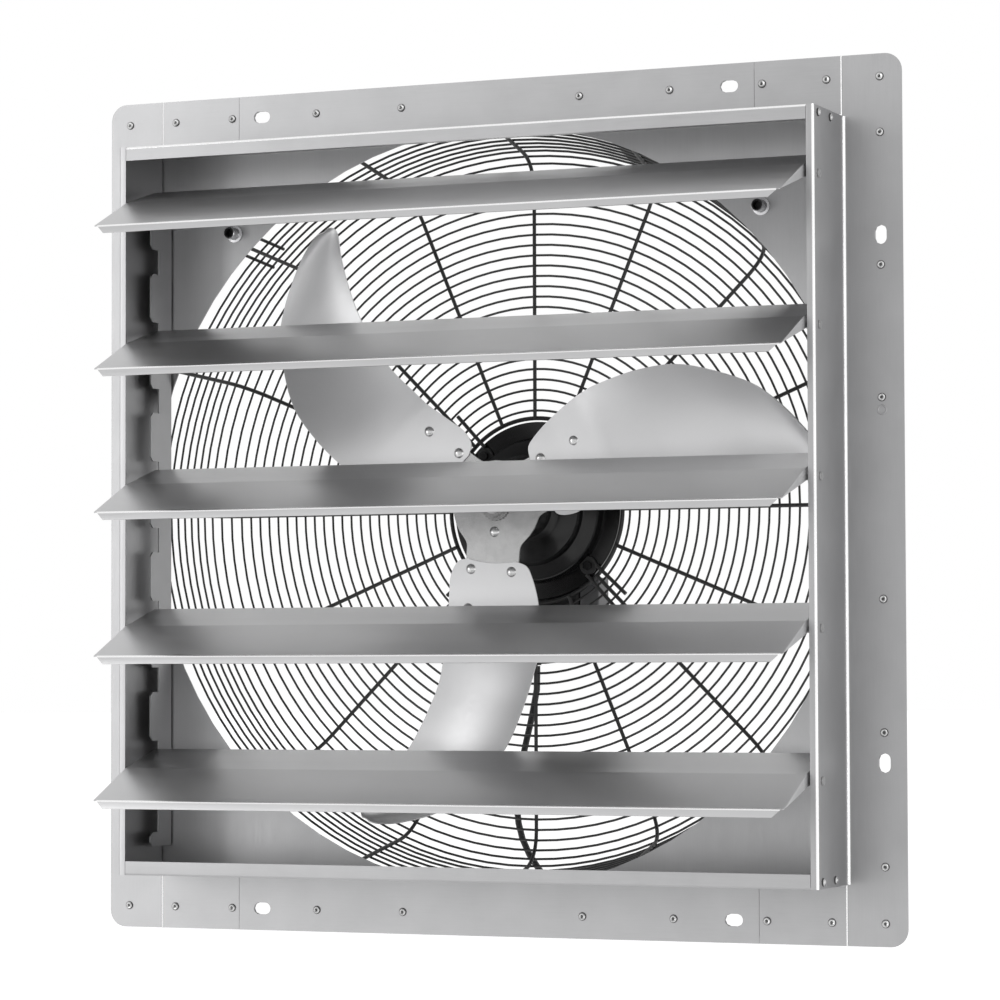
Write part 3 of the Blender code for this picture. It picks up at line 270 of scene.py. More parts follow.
# The coil's tie, the plug and the gland
TIE_INNER_REACH = 0.2994
TIE_HALF_WIDTH = 0.0019
TIE_THICKNESS = 0.0009
TIE_SLACK = 0.0008
TIE_HEAD_SHIFT = 0.0040
TIE_HEAD_LOW = (-0.0032, -0.0018, -0.0030)
TIE_HEAD_HIGH = (0.0032, 0.0020, 0.0030)
PLUG_RELIEF = 0.0213
PLUG_BODY = 0.0290
PLUG_HALF = (0.0098, 0.0073)
PLUG_WAIST = 0.0080
PLUG_WAIST_SHARES = (0.30, 0.15)
PRONG_HALF = (0.0007, 0.0031)
PRONG_ASIDE = 0.00635
PRONG_GAP = 0.0002
PRONG_ROOT = 0.0020
PRONG_ROUND = 0.0003
PLUG_ROUND = 0.0030
PLUG_SLEEVE_TOP = ((0, 0.0002), (0.0036, 0.0002))
PLUG_SLEEVE_LOW = ((0.0050, PLUG_RELIEF + 0.0020), (0, PLUG_RELIEF + 0.0020))
GLAND_NUT_RADIUS = 0.0084
GLAND_NUT = 0.0075
GLAND_SLEEVE_TOP = ((0, 0.0070), (0.0060, 0.0070))
GLAND_TIP_RADIUS = 0.0037
# Ribs on the plug's relief and the gland's sleeve, in the same way as the shaft's thread
PLUG_RIBS = (((0.0032, 0), (0.0032, 0.0012), (0.0041, 0.0016), (0.0041, 0.0030)), 5, 0.0015, 0.0037, 0.0003)
GLAND_RIBS = (((0.0058, 0), (0.0058, 0.0014), (0.0051, 0.0017), (0.0051, 0.0026)), 6, 0.0082, 0.0028, -0.0003)

# Grain of a finish, as its fineness along X, Y and Z
ALONG_X = (30, 1100, 1100)
ALONG_Z = (1100, 1100, 30)
EVEN = (700, 700, 700)
SOFT = (90, 90, 90)

# Bare metals: light and dark colour, range of roughness, relief and grain
METALS = {
    "bright_zinc": ((0.66, 0.66, 0.67), (0.52, 0.52, 0.53), (0.22, 0.34), 0.1, EVEN),
    # The next row is a near-white metal that paints highlights on folds and seam edges
    "bright_fold": ((0.93, 0.93, 0.93), (0.84, 0.84, 0.84), (0.16, 0.26), 0.05, EVEN),
    "rivet_zinc": ((0.62, 0.62, 0.62), (0.50, 0.50, 0.50), (0.20, 0.30), 0.1, EVEN),
    # The next row is a near-black metal that paints shade on the rivets' centres and outer edges
    "rivet_shade": ((0.13, 0.13, 0.13), (0.07, 0.07, 0.07), (0.35, 0.50), 0.1, EVEN),
    "dark_zinc": ((0.36, 0.36, 0.36), (0.24, 0.24, 0.24), (0.18, 0.28), 0.1, EVEN),
    "hub_steel": ((0.47, 0.47, 0.47), (0.36, 0.36, 0.36), (0.18, 0.25), 0.04, SOFT),
    "bright_steel": ((0.58, 0.58, 0.58), (0.46, 0.46, 0.46), (0.24, 0.36), 0.1, EVEN),
    "winding_copper": ((0.72, 0.36, 0.18), (0.50, 0.22, 0.10), (0.30, 0.45), 0.4, EVEN),
}
# Paints and mouldings: the settings and colour they take, how much lighter it is in the light and
# dark patches, range of roughness, relief, and the fineness of patches and peel
COATINGS = {
    "black_wire_coating": ("fan_guard", "colour", 1.8, 1, (0.34, 0.50), 0.25, 40.0, 900.0),
    "black_motor_paint": ("fan_motor", "colour", 1.6, 1, (0.16, 0.27), 0.12, 30.0, 900.0),
    "black_moulding": ("fan_motor", "colour", 2.6, 1.4, (0.42, 0.60), 0.4, 35.0, 1600.0),
    "grey_moulding": ("fan_motor", "case_colour", 1.15, 1, (0.40, 0.55), 0.3, 35.0, 900.0),
    "cord_jacket": ("fan_cord", "colour", 1.9, 1, (0.40, 0.56), 0.3, 60.0, 900.0),
}

# Lamps as (width, height) and place
LAMPS = {
    "key_lamp": ((1.1, 2.6), (-2.5, -2.5, 0.5)),
    "fill_lamp": ((1.6, 1.6), (2.2, -2.2, 1.8)),
    "side_lamp": ((0.7, 2.4), (3.0, -1.2, 0.1)),
}
CAMERA_PLACE = (1.19665, -2.81126, -0.12971)
CAMERA_TURNS = ((22.912, "Z"), (92.524, "X"), (-0.174, "Z"))
CAMERA_LENS = 135.376
FLOOR_RADIUS = 60
FLOOR_GLOW = 0.55
WHITE = (1, 1, 1, 1)


# Settings


def colour_setting(name, description, default):
    return FloatVectorProperty(
        name=name, description=description, subtype="COLOR", size=3, min=0, max=1, default=default
    )


def length_setting(name, description, default, **limits):
    return FloatProperty(name=name, description=description, unit="LENGTH", default=default, **limits)


def power_setting(name, description, default):
    return FloatProperty(name=name, description=description, unit="POWER", min=0, default=default)


class SheetSettings(bpy.types.PropertyGroup):
    """Sheet metal of the frame, the louvres and the blades."""

    colour: colour_setting(
        "Sheet colour", "Base colour of the frame's zinc-coated sheet", (0.40, 0.40, 0.405)
    )
    blade_colour: colour_setting(
        "Aluminium colour", "Base colour of the louvres and the fan blades", (0.52, 0.52, 0.525)
    )
    roughness: FloatProperty(
        name="Roughness", description="How blurred the sheet's reflections are",
        subtype="FACTOR", min=0.05, max=1, default=0.34,
    )
    rivet_radius: length_setting(
        "Rivet radius", "Radius of the blind rivets' heads in the flange", 0.0034, min=0.001
    )
    fold_radius: length_setting(
        "Fold radius", "Width of the rounding along the louvres' folds", 0.0011, min=0.0002
    )


class GuardSettings(bpy.types.PropertyGroup):
    """The wire guard behind the blades."""

    ring_pitch: length_setting(
        "Ring pitch", "Distance from one ring of the guard to the next", 0.0087, min=0.004
    )
    ring_wire: length_setting("Ring wire", "Thickness of the guard's ring wires", 0.0020, min=0.0005)
    spoke_wire: length_setting("Spoke wire", "Thickness of the guard's spokes", 0.0033, min=0.0005)
    spokes: IntProperty(name="Spokes", description="Number of spokes in the guard", min=4, default=16)
    colour: colour_setting("Coating colour", "Colour of the guard's coating", (0.012, 0.012, 0.012))


class MotorSettings(bpy.types.PropertyGroup):
    """The motor, its wiring box and the capacitor."""

    colour: colour_setting("Motor paint", "Colour of the motor's paint", (0.0045, 0.0045, 0.0048))
    case_colour: colour_setting("Capacitor colour", "Colour of the capacitor's case", (0.16, 0.16, 0.165))


class CordSettings(bpy.types.PropertyGroup):
    """The power cord and its plug."""

    diameter: length_setting("Cord diameter", "Thickness of the power cord", 0.0056, min=0.002)
    colour: colour_setting("Cord colour", "Colour of the cord's jacket", (0.018, 0.018, 0.019))


class StageSettings(bpy.types.PropertyGroup):
    """Floor and light."""

    floor_colour: colour_setting("Floor colour", "Colour of the floor", (0.90, 0.90, 0.90))
    floor_height: length_setting("Floor height", "Height of the floor below the fan's axis", -0.90)
    sky_strength: FloatProperty(
        name="Ambient light", description="Strength of the even light from all round", min=0, default=0.55
    )
    key_power: power_setting("Key lamp", "Power of the large soft lamp at the upper left", 26.0)
    fill_power: power_setting("Fill lamp", "Power of the soft lamp at the upper right", 9.0)
    side_power: power_setting(
        "Side lamp", "Power of the upright lamp at the right, which the folds reflect", 10.0
    )


# Finishes


def new_node(tree, kind, **sockets):
    made = tree.nodes.new(kind)
    for name, value in sockets.items():
        made.inputs[name.replace("_", " ")].default_value = value
    return made


def noise(tree, place, scale=None, **sockets):
    """The value of a noise at a place, with its scale from a socket where one is given."""
    made = new_node(tree, "ShaderNodeTexNoise", **sockets)
    tree.links.new(place, made.inputs["Vector"])
    if scale:
        tree.links.new(scale, made.inputs["Scale"])
    return made.outputs["Fac"]


def spread(tree, value, low, high):
    """Stretches the middle of a noise over the whole of a range."""
    made = new_node(tree, "ShaderNodeMapRange", From_Min=low, From_Max=high)
    tree.links.new(value, made.inputs["Value"])
    return made


FINISH_INPUTS = (
    ("Vector", "NodeSocketVector", None),
    ("Light", "NodeSocketColor", (0.6, 0.6, 0.6, 1)),
    ("Dark", "NodeSocketColor", (0.5, 0.5, 0.5, 1)),
    ("Patch Scale", "NodeSocketFloat", 14.0),
    ("Roughness Low", "NodeSocketFloat", 0.3),
    ("Roughness High", "NodeSocketFloat", 0.45),
    ("Relief", "NodeSocketFloat", 0.2),
    ("Relief Depth", "NodeSocketFloat", 0.0001),
)
FINISH_OUTPUTS = (
    ("Color", "NodeSocketColor"),
    ("Roughness", "NodeSocketFloat"),
    ("Normal", "NodeSocketVector"),
)


def finish_group(name, extra_input):
    """A node group with the sockets of a finish and one of its own."""
    tree = bpy.data.node_groups.new(name, "ShaderNodeTree")
    for label, kind, value in (*FINISH_INPUTS, extra_input):
        socket = tree.interface.new_socket(name=label, in_out="INPUT", socket_type=kind)
        if value is not None:
            socket.default_value = value
    for label, kind in FINISH_OUTPUTS:
        tree.interface.new_socket(name=label, in_out="OUTPUT", socket_type=kind)
    return tree, tree.nodes.new("NodeGroupInput")


def finish_leaves(tree, entry, patches, rough, height):
    """Puts out the colour by patches, the roughness in its range and the normal of a height."""
    colour = tree.nodes.new("ShaderNodeMix")
    colour.data_type = "RGBA"
    bump = tree.nodes.new("ShaderNodeBump")
    tree.links.new(patches, colour.inputs["Factor"])
    tree.links.new(height, bump.inputs["Height"])
    for label, node, socket in (
        ("Dark", colour, 6), ("Light", colour, 7), ("Roughness Low", rough, "To Min"),
        ("Roughness High", rough, "To Max"), ("Relief", bump, "Strength"), ("Relief Depth", bump, "Distance"),
    ):
        tree.links.new(entry.outputs[label], node.inputs[socket])
    leave = tree.nodes.new("NodeGroupOutput")
    tree.links.new(colour.outputs[2], leave.inputs["Color"])
    tree.links.new(rough.outputs["Result"], leave.inputs["Roughness"])
    tree.links.new(bump.outputs["Normal"], leave.inputs["Normal"])
    return tree


def grained_finish():
    """Streaked grain along one direction over soft patches: rolled, brushed or coated metal."""
    existing = bpy.data.node_groups.get("grained_finish")
    if existing:
        return existing
    tree, entry = finish_group("grained_finish", ("Grain", "NodeSocketVector", (40, 900, 900)))
    place = entry.outputs["Vector"]
    stretch = tree.nodes.new("ShaderNodeVectorMath")
    stretch.operation = "MULTIPLY"
    tree.links.new(place, stretch.inputs[0])
    tree.links.new(entry.outputs["Grain"], stretch.inputs[1])
    grain = noise(tree, stretch.outputs[0], Scale=1.0, Detail=3.0, Roughness=0.6)
    patch = noise(tree, place, entry.outputs["Patch Scale"], Detail=4.0, Roughness=0.55)
    both = tree.nodes.new("ShaderNodeMix")
    both.data_type = "FLOAT"
    both.inputs["Factor"].default_value = 0.45
    tree.links.new(patch, both.inputs["A"])
    tree.links.new(grain, both.inputs["B"])
    patches = spread(tree, both.outputs["Result"], 0.30, 0.70).outputs["Result"]
    return finish_leaves(tree, entry, patches, spread(tree, grain, 0.25, 0.75), grain)


def moulded_finish():
    """A fine orange-peel skin with faint dust: paint, wire coating and moulded plastic."""
    existing = bpy.data.node_groups.get("moulded_finish")
    if existing:
        return existing
    tree, entry = finish_group("moulded_finish", ("Peel Scale", "NodeSocketFloat", 900.0))
    place = entry.outputs["Vector"]
    peel = noise(tree, place, entry.outputs["Peel Scale"], Detail=2.0, Roughness=0.5)
    dust = noise(tree, place, entry.outputs["Patch Scale"], Detail=5.0, Roughness=0.7)
    patches = spread(tree, dust, 0.35, 0.75).outputs["Result"]
    return finish_leaves(tree, entry, patches, spread(tree, dust, 0.3, 0.7), peel)


def material(name, group, metallic, light, dark, rough, relief, **extra):
    """A Principled material whose colour, roughness and normal come from a finish group."""
    existing = bpy.data.materials.get(name)
    if existing:
        return existing
    made = bpy.data.materials.new(name)
    made.use_nodes = True
    made.diffuse_color = (*light, 1)
    tree = made.node_tree
    shader = tree.nodes["Principled BSDF"]
    shader.inputs["Metallic"].default_value = metallic
    finish = tree.nodes.new("ShaderNodeGroup")
    finish.node_tree = group
    values = {"Light": (*light, 1), "Dark": (*dark, 1), "Relief": relief, **extra}
    values["Roughness Low"], values["Roughness High"] = rough
    for label, value in values.items():
        finish.inputs[label.replace("_", " ")].default_value = value
    place = tree.nodes.new("ShaderNodeTexCoord")
    tree.links.new(place.outputs["Object"], finish.inputs["Vector"])
    tree.links.new(finish.outputs["Color"], shader.inputs["Base Color"])
    tree.links.new(finish.outputs["Roughness"], shader.inputs["Roughness"])
    tree.links.new(finish.outputs["Normal"], shader.inputs["Normal"])
    return made


def shade(colour, share):
    return tuple(value * share for value in colour)


def metal(name):
    light, dark, rough, relief, grain = METALS[name]
    return material(name, grained_finish(), 1.0, light, dark, rough, relief, Grain=grain)


def coating(name):
    group, label, light, dark, rough, relief, patches, peel = COATINGS[name]
    colour = tuple(getattr(getattr(bpy.context.scene, group), label))
    light, dark = shade(colour, light), shade(colour, dark)
    return material(
        name, moulded_finish(), 0.0, light, dark, rough, relief, Patch_Scale=patches, Peel_Scale=peel
    )


def motor_paint():
    made = coating("black_motor_paint")
    made.node_tree.nodes["Principled BSDF"].inputs["Specular IOR Level"].default_value = MOTOR_GLOSS
    return made


def zinc_sheet(grain):
    sheet = bpy.context.scene.fan_sheet
    name = "zinc_sheet_upright" if grain == ALONG_Z else "zinc_sheet_level"
    light, dark = shade(sheet.colour, 1.06), shade(sheet.colour, 0.92)
    rough = (sheet.roughness, sheet.roughness + 0.14)
    return material(name, grained_finish(), 1.0, light, dark, rough, 0.12, Grain=grain, Patch_Scale=22.0)


def satin_aluminium(name, grain, dulled=0.0, share=1.0):
    sheet = bpy.context.scene.fan_sheet
    colour = shade(sheet.blade_colour, share)
    light, dark = shade(colour, 1.04), shade(colour, 0.95)
    rough = (sheet.roughness - 0.04 + dulled, sheet.roughness + 0.08 + dulled)
    return material(name, grained_finish(), 1.0, light, dark, rough, 0.08, Grain=grain, Patch_Scale=9.0)


# Mesh helpers


def placed(name, data):
    made = bpy.data.objects.new(name, data)
    bpy.context.scene.collection.objects.link(made)
    return made


def piece(name, work, body, looks, replaced=(), crease_degrees=32):
    """Turns a finished bmesh into a piece that rides on a body of the frame."""
    bmesh.ops.remove_doubles(work, verts=work.verts, dist=0.000002)
    bmesh.ops.recalc_face_normals(work, faces=work.faces)
    mesh = bpy.data.meshes.new(name)
    work.to_mesh(mesh)
    work.free()
    for face in mesh.polygons:
        face.use_smooth = True
    mesh.set_sharp_from_angle(angle=math.radians(crease_degrees))
    made = placed(name, mesh)
    for look in looks:
        mesh.materials.append(look)
    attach(made, body)
    if replaced:
        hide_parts(*replaced)
    return made


def paint_nodes(look, *names):
    """Gives CAD nodes a finish on their own material slots."""
    for name in names:
        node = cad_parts[name]
        node.data.materials.clear()
        node.data.materials.append(look)


def rounded_edges(made, width):
    bevel = made.modifiers.new("rounded_edges", "BEVEL")
    bevel.width = width
    bevel.segments = 2
    bevel.limit_method = "ANGLE"
    bevel.angle_limit = math.radians(35)


def bevel_edges(work, edges, offset, segments=2, material=-1):
    ends = list({vert for edge in edges for vert in edge.verts})
    bmesh.ops.bevel(
        work, geom=edges + ends, offset=offset, segments=segments, profile=0.5, affect="EDGES",
        material=material,
    )


def new_verts(grown):
    """The vertices that an extrusion added."""
    return [item for item in grown["geom"] if isinstance(item, bmesh.types.BMVert)]


def full_turn(work, geom, axis, centre, steps):
    bmesh.ops.spin(
        work, geom=geom, cent=centre, axis=axis, angle=2 * math.pi, steps=steps, use_merge=True
    )


def turn_profile(work, profile, steps, axis="Y", place=(0, 0, 0)):
    """Spins (radius, along) points about an axis through a place; the profile may touch the axis."""
    along = {"Y": Vector((0, 1, 0)), "Z": Vector((0, 0, 1))}[axis]
    out = Vector((1, 0, 0)) if axis == "Z" else Vector((0, 0, 1))
    centre = Vector(place)
    verts = [work.verts.new(centre + out * radius + along * height) for radius, height in profile]
    edges = [work.edges.new(pair) for pair in zip(verts, verts[1:])]
    if profile[0][0] > 0 and profile[-1][0] > 0:
        edges.append(work.edges.new((verts[-1], verts[0])))
    full_turn(work, verts + edges, along, centre, steps)


def steps_before(profile, end):
    """A profile whose second values are distances before an end."""
    return [(radius, end - fall) for radius, fall in profile]


def steps_behind(profile, start):
    """A profile whose second values are distances behind a start."""
    return [(radius, start + rise) for radius, rise in profile]


def ribs(rib, count, first, pitch, growth):
    """A rib's points (radius, along) again at each pitch, each rib a little thicker or thinner."""
    steps = range(count)
    return [(radius + growth * step, first + pitch * step + along) for step in steps for radius, along in rib]


def prism(work, sides, radius, place, length, axis="Y", tooth=0.0):
    """A prism from a place along an axis; every other corner stands out by a tooth."""
    ring = bmesh.ops.create_circle(work, cap_ends=True, radius=radius, segments=sides)["verts"]
    for vert in ring[::2]:
        vert.co *= 1 + tooth / radius
    spin = Matrix.Rotation(math.radians(-90 if axis == "Y" else 0), 4, "X")
    bmesh.ops.transform(work, matrix=Matrix.Translation(place) @ spin, verts=ring)
    caps = [face for face in work.faces if face.verts[0] in ring]
    grown = bmesh.ops.extrude_face_region(work, geom=caps)
    shift = (0, length, 0) if axis == "Y" else (0, 0, length)
    bmesh.ops.translate(work, vec=shift, verts=new_verts(grown))


def wire(work, points, thickness, sides=8):
    """Sweeps a round section along points and closes its ends."""
    points = [Vector(point) for point in points]
    around_each = zip([points[0], *points], [*points[1:], points[-1]])
    headings = [(after - before).normalized() for before, after in around_each]
    turn = Vector((0, 0, 1)).rotation_difference(headings[0]).to_matrix()
    start = bmesh.ops.create_circle(work, radius=thickness / 2, segments=sides)["verts"]
    local = [vert.co.copy() for vert in start]
    ring = start
    for index, point in enumerate(points):
        if index:
            turn = headings[index - 1].rotation_difference(headings[index]).to_matrix() @ turn
            edges = {edge for vert in ring for edge in vert.link_edges if edge.other_vert(vert) in ring}
            fresh = new_verts(bmesh.ops.extrude_edge_only(work, edges=list(edges)))
            ring = [min(fresh, key=lambda item: (item.co - old.co).length_squared) for old in ring]
        for vert, offset in zip(ring, local):
            vert.co = point + turn @ offset
    for end in (start, ring):
        work.faces.new(end)


def disc_wire(work, place, thickness, sides=8):
    """One round ring of wire about the fan's axis, at a (radius, y) place."""
    radius, y = place
    made = bmesh.ops.create_circle(work, radius=thickness / 2, segments=sides)["verts"]
    for vert in made:
        vert.co = Vector((0, y + vert.co.x, radius + vert.co.y))
    edges = list({edge for vert in made for edge in vert.link_edges})
    full_turn(work, made + edges, (0, 1, 0), (0, 0, 0), RING_STEPS)


def block(work, low, high, bevel, segments=2):
    """A box between two corners with rounded edges."""
    verts = bmesh.ops.create_cube(work, size=1)["verts"]
    bmesh.ops.scale(work, vec=Vector(high) - Vector(low), verts=verts)
    bmesh.ops.translate(work, vec=(Vector(high) + Vector(low)) / 2, verts=verts)
    bevel_edges(work, list({edge for vert in verts for edge in vert.link_edges}), bevel, segments)


def polar(radius, turn):
    return radius * math.cos(turn), radius * math.sin(turn)


def around(point, turn, aside=0.0):
    """A point (radius, y) of a section, at an angle round the fan's axis and set aside."""
    radius, back = point
    x, z = polar(radius, turn)
    return Vector((x - aside * math.sin(turn), back, z + aside * math.cos(turn)))


def arc_points(centre, radius, start, end, count):
    made = []
    for index in range(count + 1):
        across, up = polar(radius, math.radians(start + (end - start) * index / count))
        made.append((centre[0] + across, centre[1] + up))
    return made


def between(points, t):
    """A point of a smooth curve through four points, a share t of the way from the second."""
    before, start, end, after = points
    return (
        start * 2
        + (end - before) * t
        + (before * 2 - start * 5 + end * 4 - after) * t ** 2
        + (start * 3 - before - end * 3 + after) * t ** 3
    ) / 2


def repeat_at(work, template, places):
    """Copies a small bmesh to each of the given matrices."""
    mesh = bpy.data.meshes.new("template")
    for place in places:
        copy = template.copy()
        bmesh.ops.transform(copy, matrix=place, verts=copy.verts)
        copy.to_mesh(mesh)
        copy.free()
        work.from_mesh(mesh)
    bpy.data.meshes.remove(mesh)
    template.free()


# Power cord


def smooth_route(points, spacing):
    """Points an even distance apart along a smooth curve through a route."""
    padded = [points[0] * 2 - points[1], *points, points[-1] * 2 - points[-2]]
    fine = []
    for four in zip(padded, padded[1:], padded[2:], padded[3:]):
        fine += [between(four, step / ROUTE_STEPS) for step in range(ROUTE_STEPS)]
    fine.append(points[-1])
    total = sum((b - a).length for a, b in zip(fine, fine[1:]))
    count = max(2, round(total / spacing))
    made = [fine[0]]
    walked = 0
    for a, b in zip(fine, fine[1:]):
        walked += (b - a).length
        if walked >= len(made) * total / count and len(made) < count:
            made.append(b)
    made.append(fine[-1])
    return made


def coil_points():
    """The coil: in on the rear layer, across in half a turn, and out on the front one."""
    back = COIL_Y + COIL_PITCH / 2
    front = COIL_Y - COIL_PITCH / 2
    inner = COIL_RADIUS - COIL_PITCH * COIL_TURNS_IN
    total = COIL_TURNS_IN + 0.5 + COIL_TURNS_OUT
    count = round(total * COIL_POINTS)
    made = []
    for index in range(count + 1):
        turns = total * index / count
        if turns <= COIL_TURNS_IN:
            radius = COIL_RADIUS - COIL_PITCH * turns
            layer = back
        elif turns <= COIL_TURNS_IN + 0.5:
            share = (turns - COIL_TURNS_IN) / 0.5
            radius = inner - COIL_CLIMB_DIP * math.sin(math.pi * share)
            layer = back + (front - back) * (3 * share ** 2 - 2 * share ** 3)
        else:
            radius = inner + COIL_PITCH * (turns - COIL_TURNS_IN - 0.5)
            layer = front
        across, up = polar(radius, math.pi - 2 * math.pi * turns)
        made.append(Vector((COIL_X + across, layer, COIL_Z + up)))
    return made


def cord_points():
    """The cord's whole line, from the gland to the plug's strain relief."""
    diameter = bpy.context.scene.fan_cord.diameter
    straight = Vector((0, 0, diameter))
    loops = coil_points()
    exit_point = Vector(GLAND_EXIT)
    run_in = loops[0] - straight
    route = [exit_point - straight, *map(Vector, CORD_ROUTE), run_in - straight]
    lead = [exit_point, *smooth_route(route, CORD_SPACING)]
    heading = (loops[-1] - loops[-2]).normalized()
    relief_top = Vector((COIL_X + COIL_RADIUS + TAIL_OUT, COIL_Y - COIL_PITCH / 2, COIL_Z + TAIL_DROP))
    bend = [loops[-1], loops[-1] + heading * diameter * 2]
    bend += [relief_top + straight * 2, relief_top + straight / 2]
    return [*lead, run_in, *loops, *smooth_route(bend, diameter * 1.5)[1:], relief_top]


class FAN_OT_cord(bpy.types.Operator):
    """Power cord, its coil, the tie round it, the plug and the gland"""

    bl_idname = "shutter_fan.cord"
    bl_label = "Power Cord"

    def execute(self, context):
        diameter = context.scene.fan_cord.diameter
        points = cord_points()
        curve = bpy.data.curves.new("power_cord", "CURVE")
        curve.dimensions = "3D"
        curve.bevel_depth = diameter / 2
        curve.bevel_resolution = 3
        curve.use_fill_caps = True
        spline = curve.splines.new("POLY")
        spline.points.add(len(points) - 1)
        for point, spot in zip(spline.points, points):
            point.co = (*spot, 1)
        curve.materials.append(coating("cord_jacket"))
        cord = placed("power_cord", curve)
        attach(cord, "frame")
        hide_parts("cord_lead", "cord_coil")
        tie = self.tie(diameter / 2)
        plug = self.plug(points[-1])
        self.gland()
        return {"FINISHED"}

    def tie(self, cord_half):
        """A flat strap round the coil and the guard's ring, with its locking head."""
        low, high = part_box("coil_tie")
        middle = (low.y + high.y) / 2
        heading = math.atan2(COIL_Z, COIL_X)
        coil_hole = COIL_RADIUS - COIL_PITCH * COIL_TURNS_IN - COIL_CLIMB_DIP
        out = math.hypot(COIL_X, COIL_Z) - coil_hole + cord_half
        depth = COIL_PITCH / 2 + cord_half + TIE_SLACK
        corner = depth / 2
        line = []
        for quarter, (across, back) in enumerate(
            ((out - corner, corner), (TIE_INNER_REACH + corner, corner),
             (TIE_INNER_REACH + corner, -corner), (out - corner, -corner))
        ):
            line += arc_points((across, back), corner, quarter * 90, quarter * 90 + 90, 5)
        work = bmesh.new()
        rows = []
        for across, back in line:
            point = (across, middle + back)
            rows.append([work.verts.new(around(point, heading, side * TIE_HALF_WIDTH)) for side in SIDES])
        for near, far in zip(rows, rows[1:] + rows[:1]):
            work.faces.new((near[0], near[1], far[1], far[0]))
        bmesh.ops.solidify(work, geom=work.faces[:], thickness=TIE_THICKNESS)
        head = bmesh.new()
        block(head, TIE_HEAD_LOW, TIE_HEAD_HIGH, EDGE_ROUND)
        reach = (TIE_INNER_REACH + out) / 2 + TIE_HEAD_SHIFT
        place = around((reach, middle - depth + TIE_HEAD_LOW[1]), heading)
        repeat_at(work, head, [Matrix.Translation(place) @ Matrix.Rotation(-heading, 4, "Y")])
        return piece("coil_strap", work, "frame", [coating("black_moulding")], ["coil_tie"])

    def plug(self, top):
        """A two-pin plug: waisted body, ribbed strain relief and blades."""
        prong_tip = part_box("power_plug")[0].z + PRONG_GAP
        body_top = top.z - PLUG_RELIEF
        body_low = body_top - PLUG_BODY
        half = Vector((*PLUG_HALF, 0))
        middle = Vector((top.x, top.y, 0))
        work = bmesh.new()
        low = middle - half + Vector((0, 0, body_low))
        block(work, low, middle + half + Vector((0, 0, body_top)), PLUG_ROUND, 3)
        for vert in work.verts:
            share = (vert.co.z - body_low - PLUG_WAIST) / (PLUG_BODY - PLUG_WAIST)
            if share > 0:
                vert.co.x = top.x + (vert.co.x - top.x) * (1 - PLUG_WAIST_SHARES[0] * share)
                vert.co.y = top.y + (vert.co.y - top.y) * (1 - PLUG_WAIST_SHARES[1] * share)
        profile = [*PLUG_SLEEVE_TOP, *ribs(*PLUG_RIBS), *PLUG_SLEEVE_LOW]
        turn_profile(work, steps_before(profile, top.z), 24, "Z", middle)
        for side in SIDES:
            prong = middle + Vector((side * PRONG_ASIDE, 0, 0))
            half = Vector((*PRONG_HALF, 0))
            tip = prong - half + Vector((0, 0, prong_tip))
            block(work, tip, prong + half + Vector((0, 0, body_low + PRONG_ROOT)), PRONG_ROUND)
        looks = [coating("black_moulding"), metal("bright_zinc")]
        made = piece("cord_plug", work, "frame", looks, ["power_plug"])
        for face in made.data.polygons:
            if face.center.z < body_low - PRONG_ROUND:
                face.material_index = 1
        return made

    def gland(self):
        """A threaded nut and a tapered ribbed sleeve under the wiring box."""
        low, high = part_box("cord_gland")
        x, y = GLAND_EXIT[:2]
        work = bmesh.new()
        prism(work, 6, GLAND_NUT_RADIUS, (x, y, high.z), -GLAND_NUT, "Z")
        bevel_edges(work, work.edges[:], EDGE_ROUND)
        sleeve = steps_before([*GLAND_SLEEVE_TOP, *ribs(*GLAND_RIBS)], high.z)
        sleeve += [(GLAND_TIP_RADIUS, low.z + FIT_GAP), (0, low.z + FIT_GAP)]
        turn_profile(work, sleeve, 28, "Z", (x, y, 0))
        return piece("box_gland", work, "frame", [coating("black_moulding")], ["cord_gland"])


# Frame and panel


def slot_points(centre, upright):
    """The outline of a mounting slot with round ends."""
    half = (SLOT_LENGTH - SLOT_WIDTH) / 2
    points = arc_points((half, 0), SLOT_WIDTH / 2, -90, 90, 10)
    points += arc_points((-half, 0), SLOT_WIDTH / 2, 90, 270, 10)
    if upright:
        points = [(-up, across) for across, up in points]
    return [(centre[0] + across, centre[1] + up) for across, up in points]


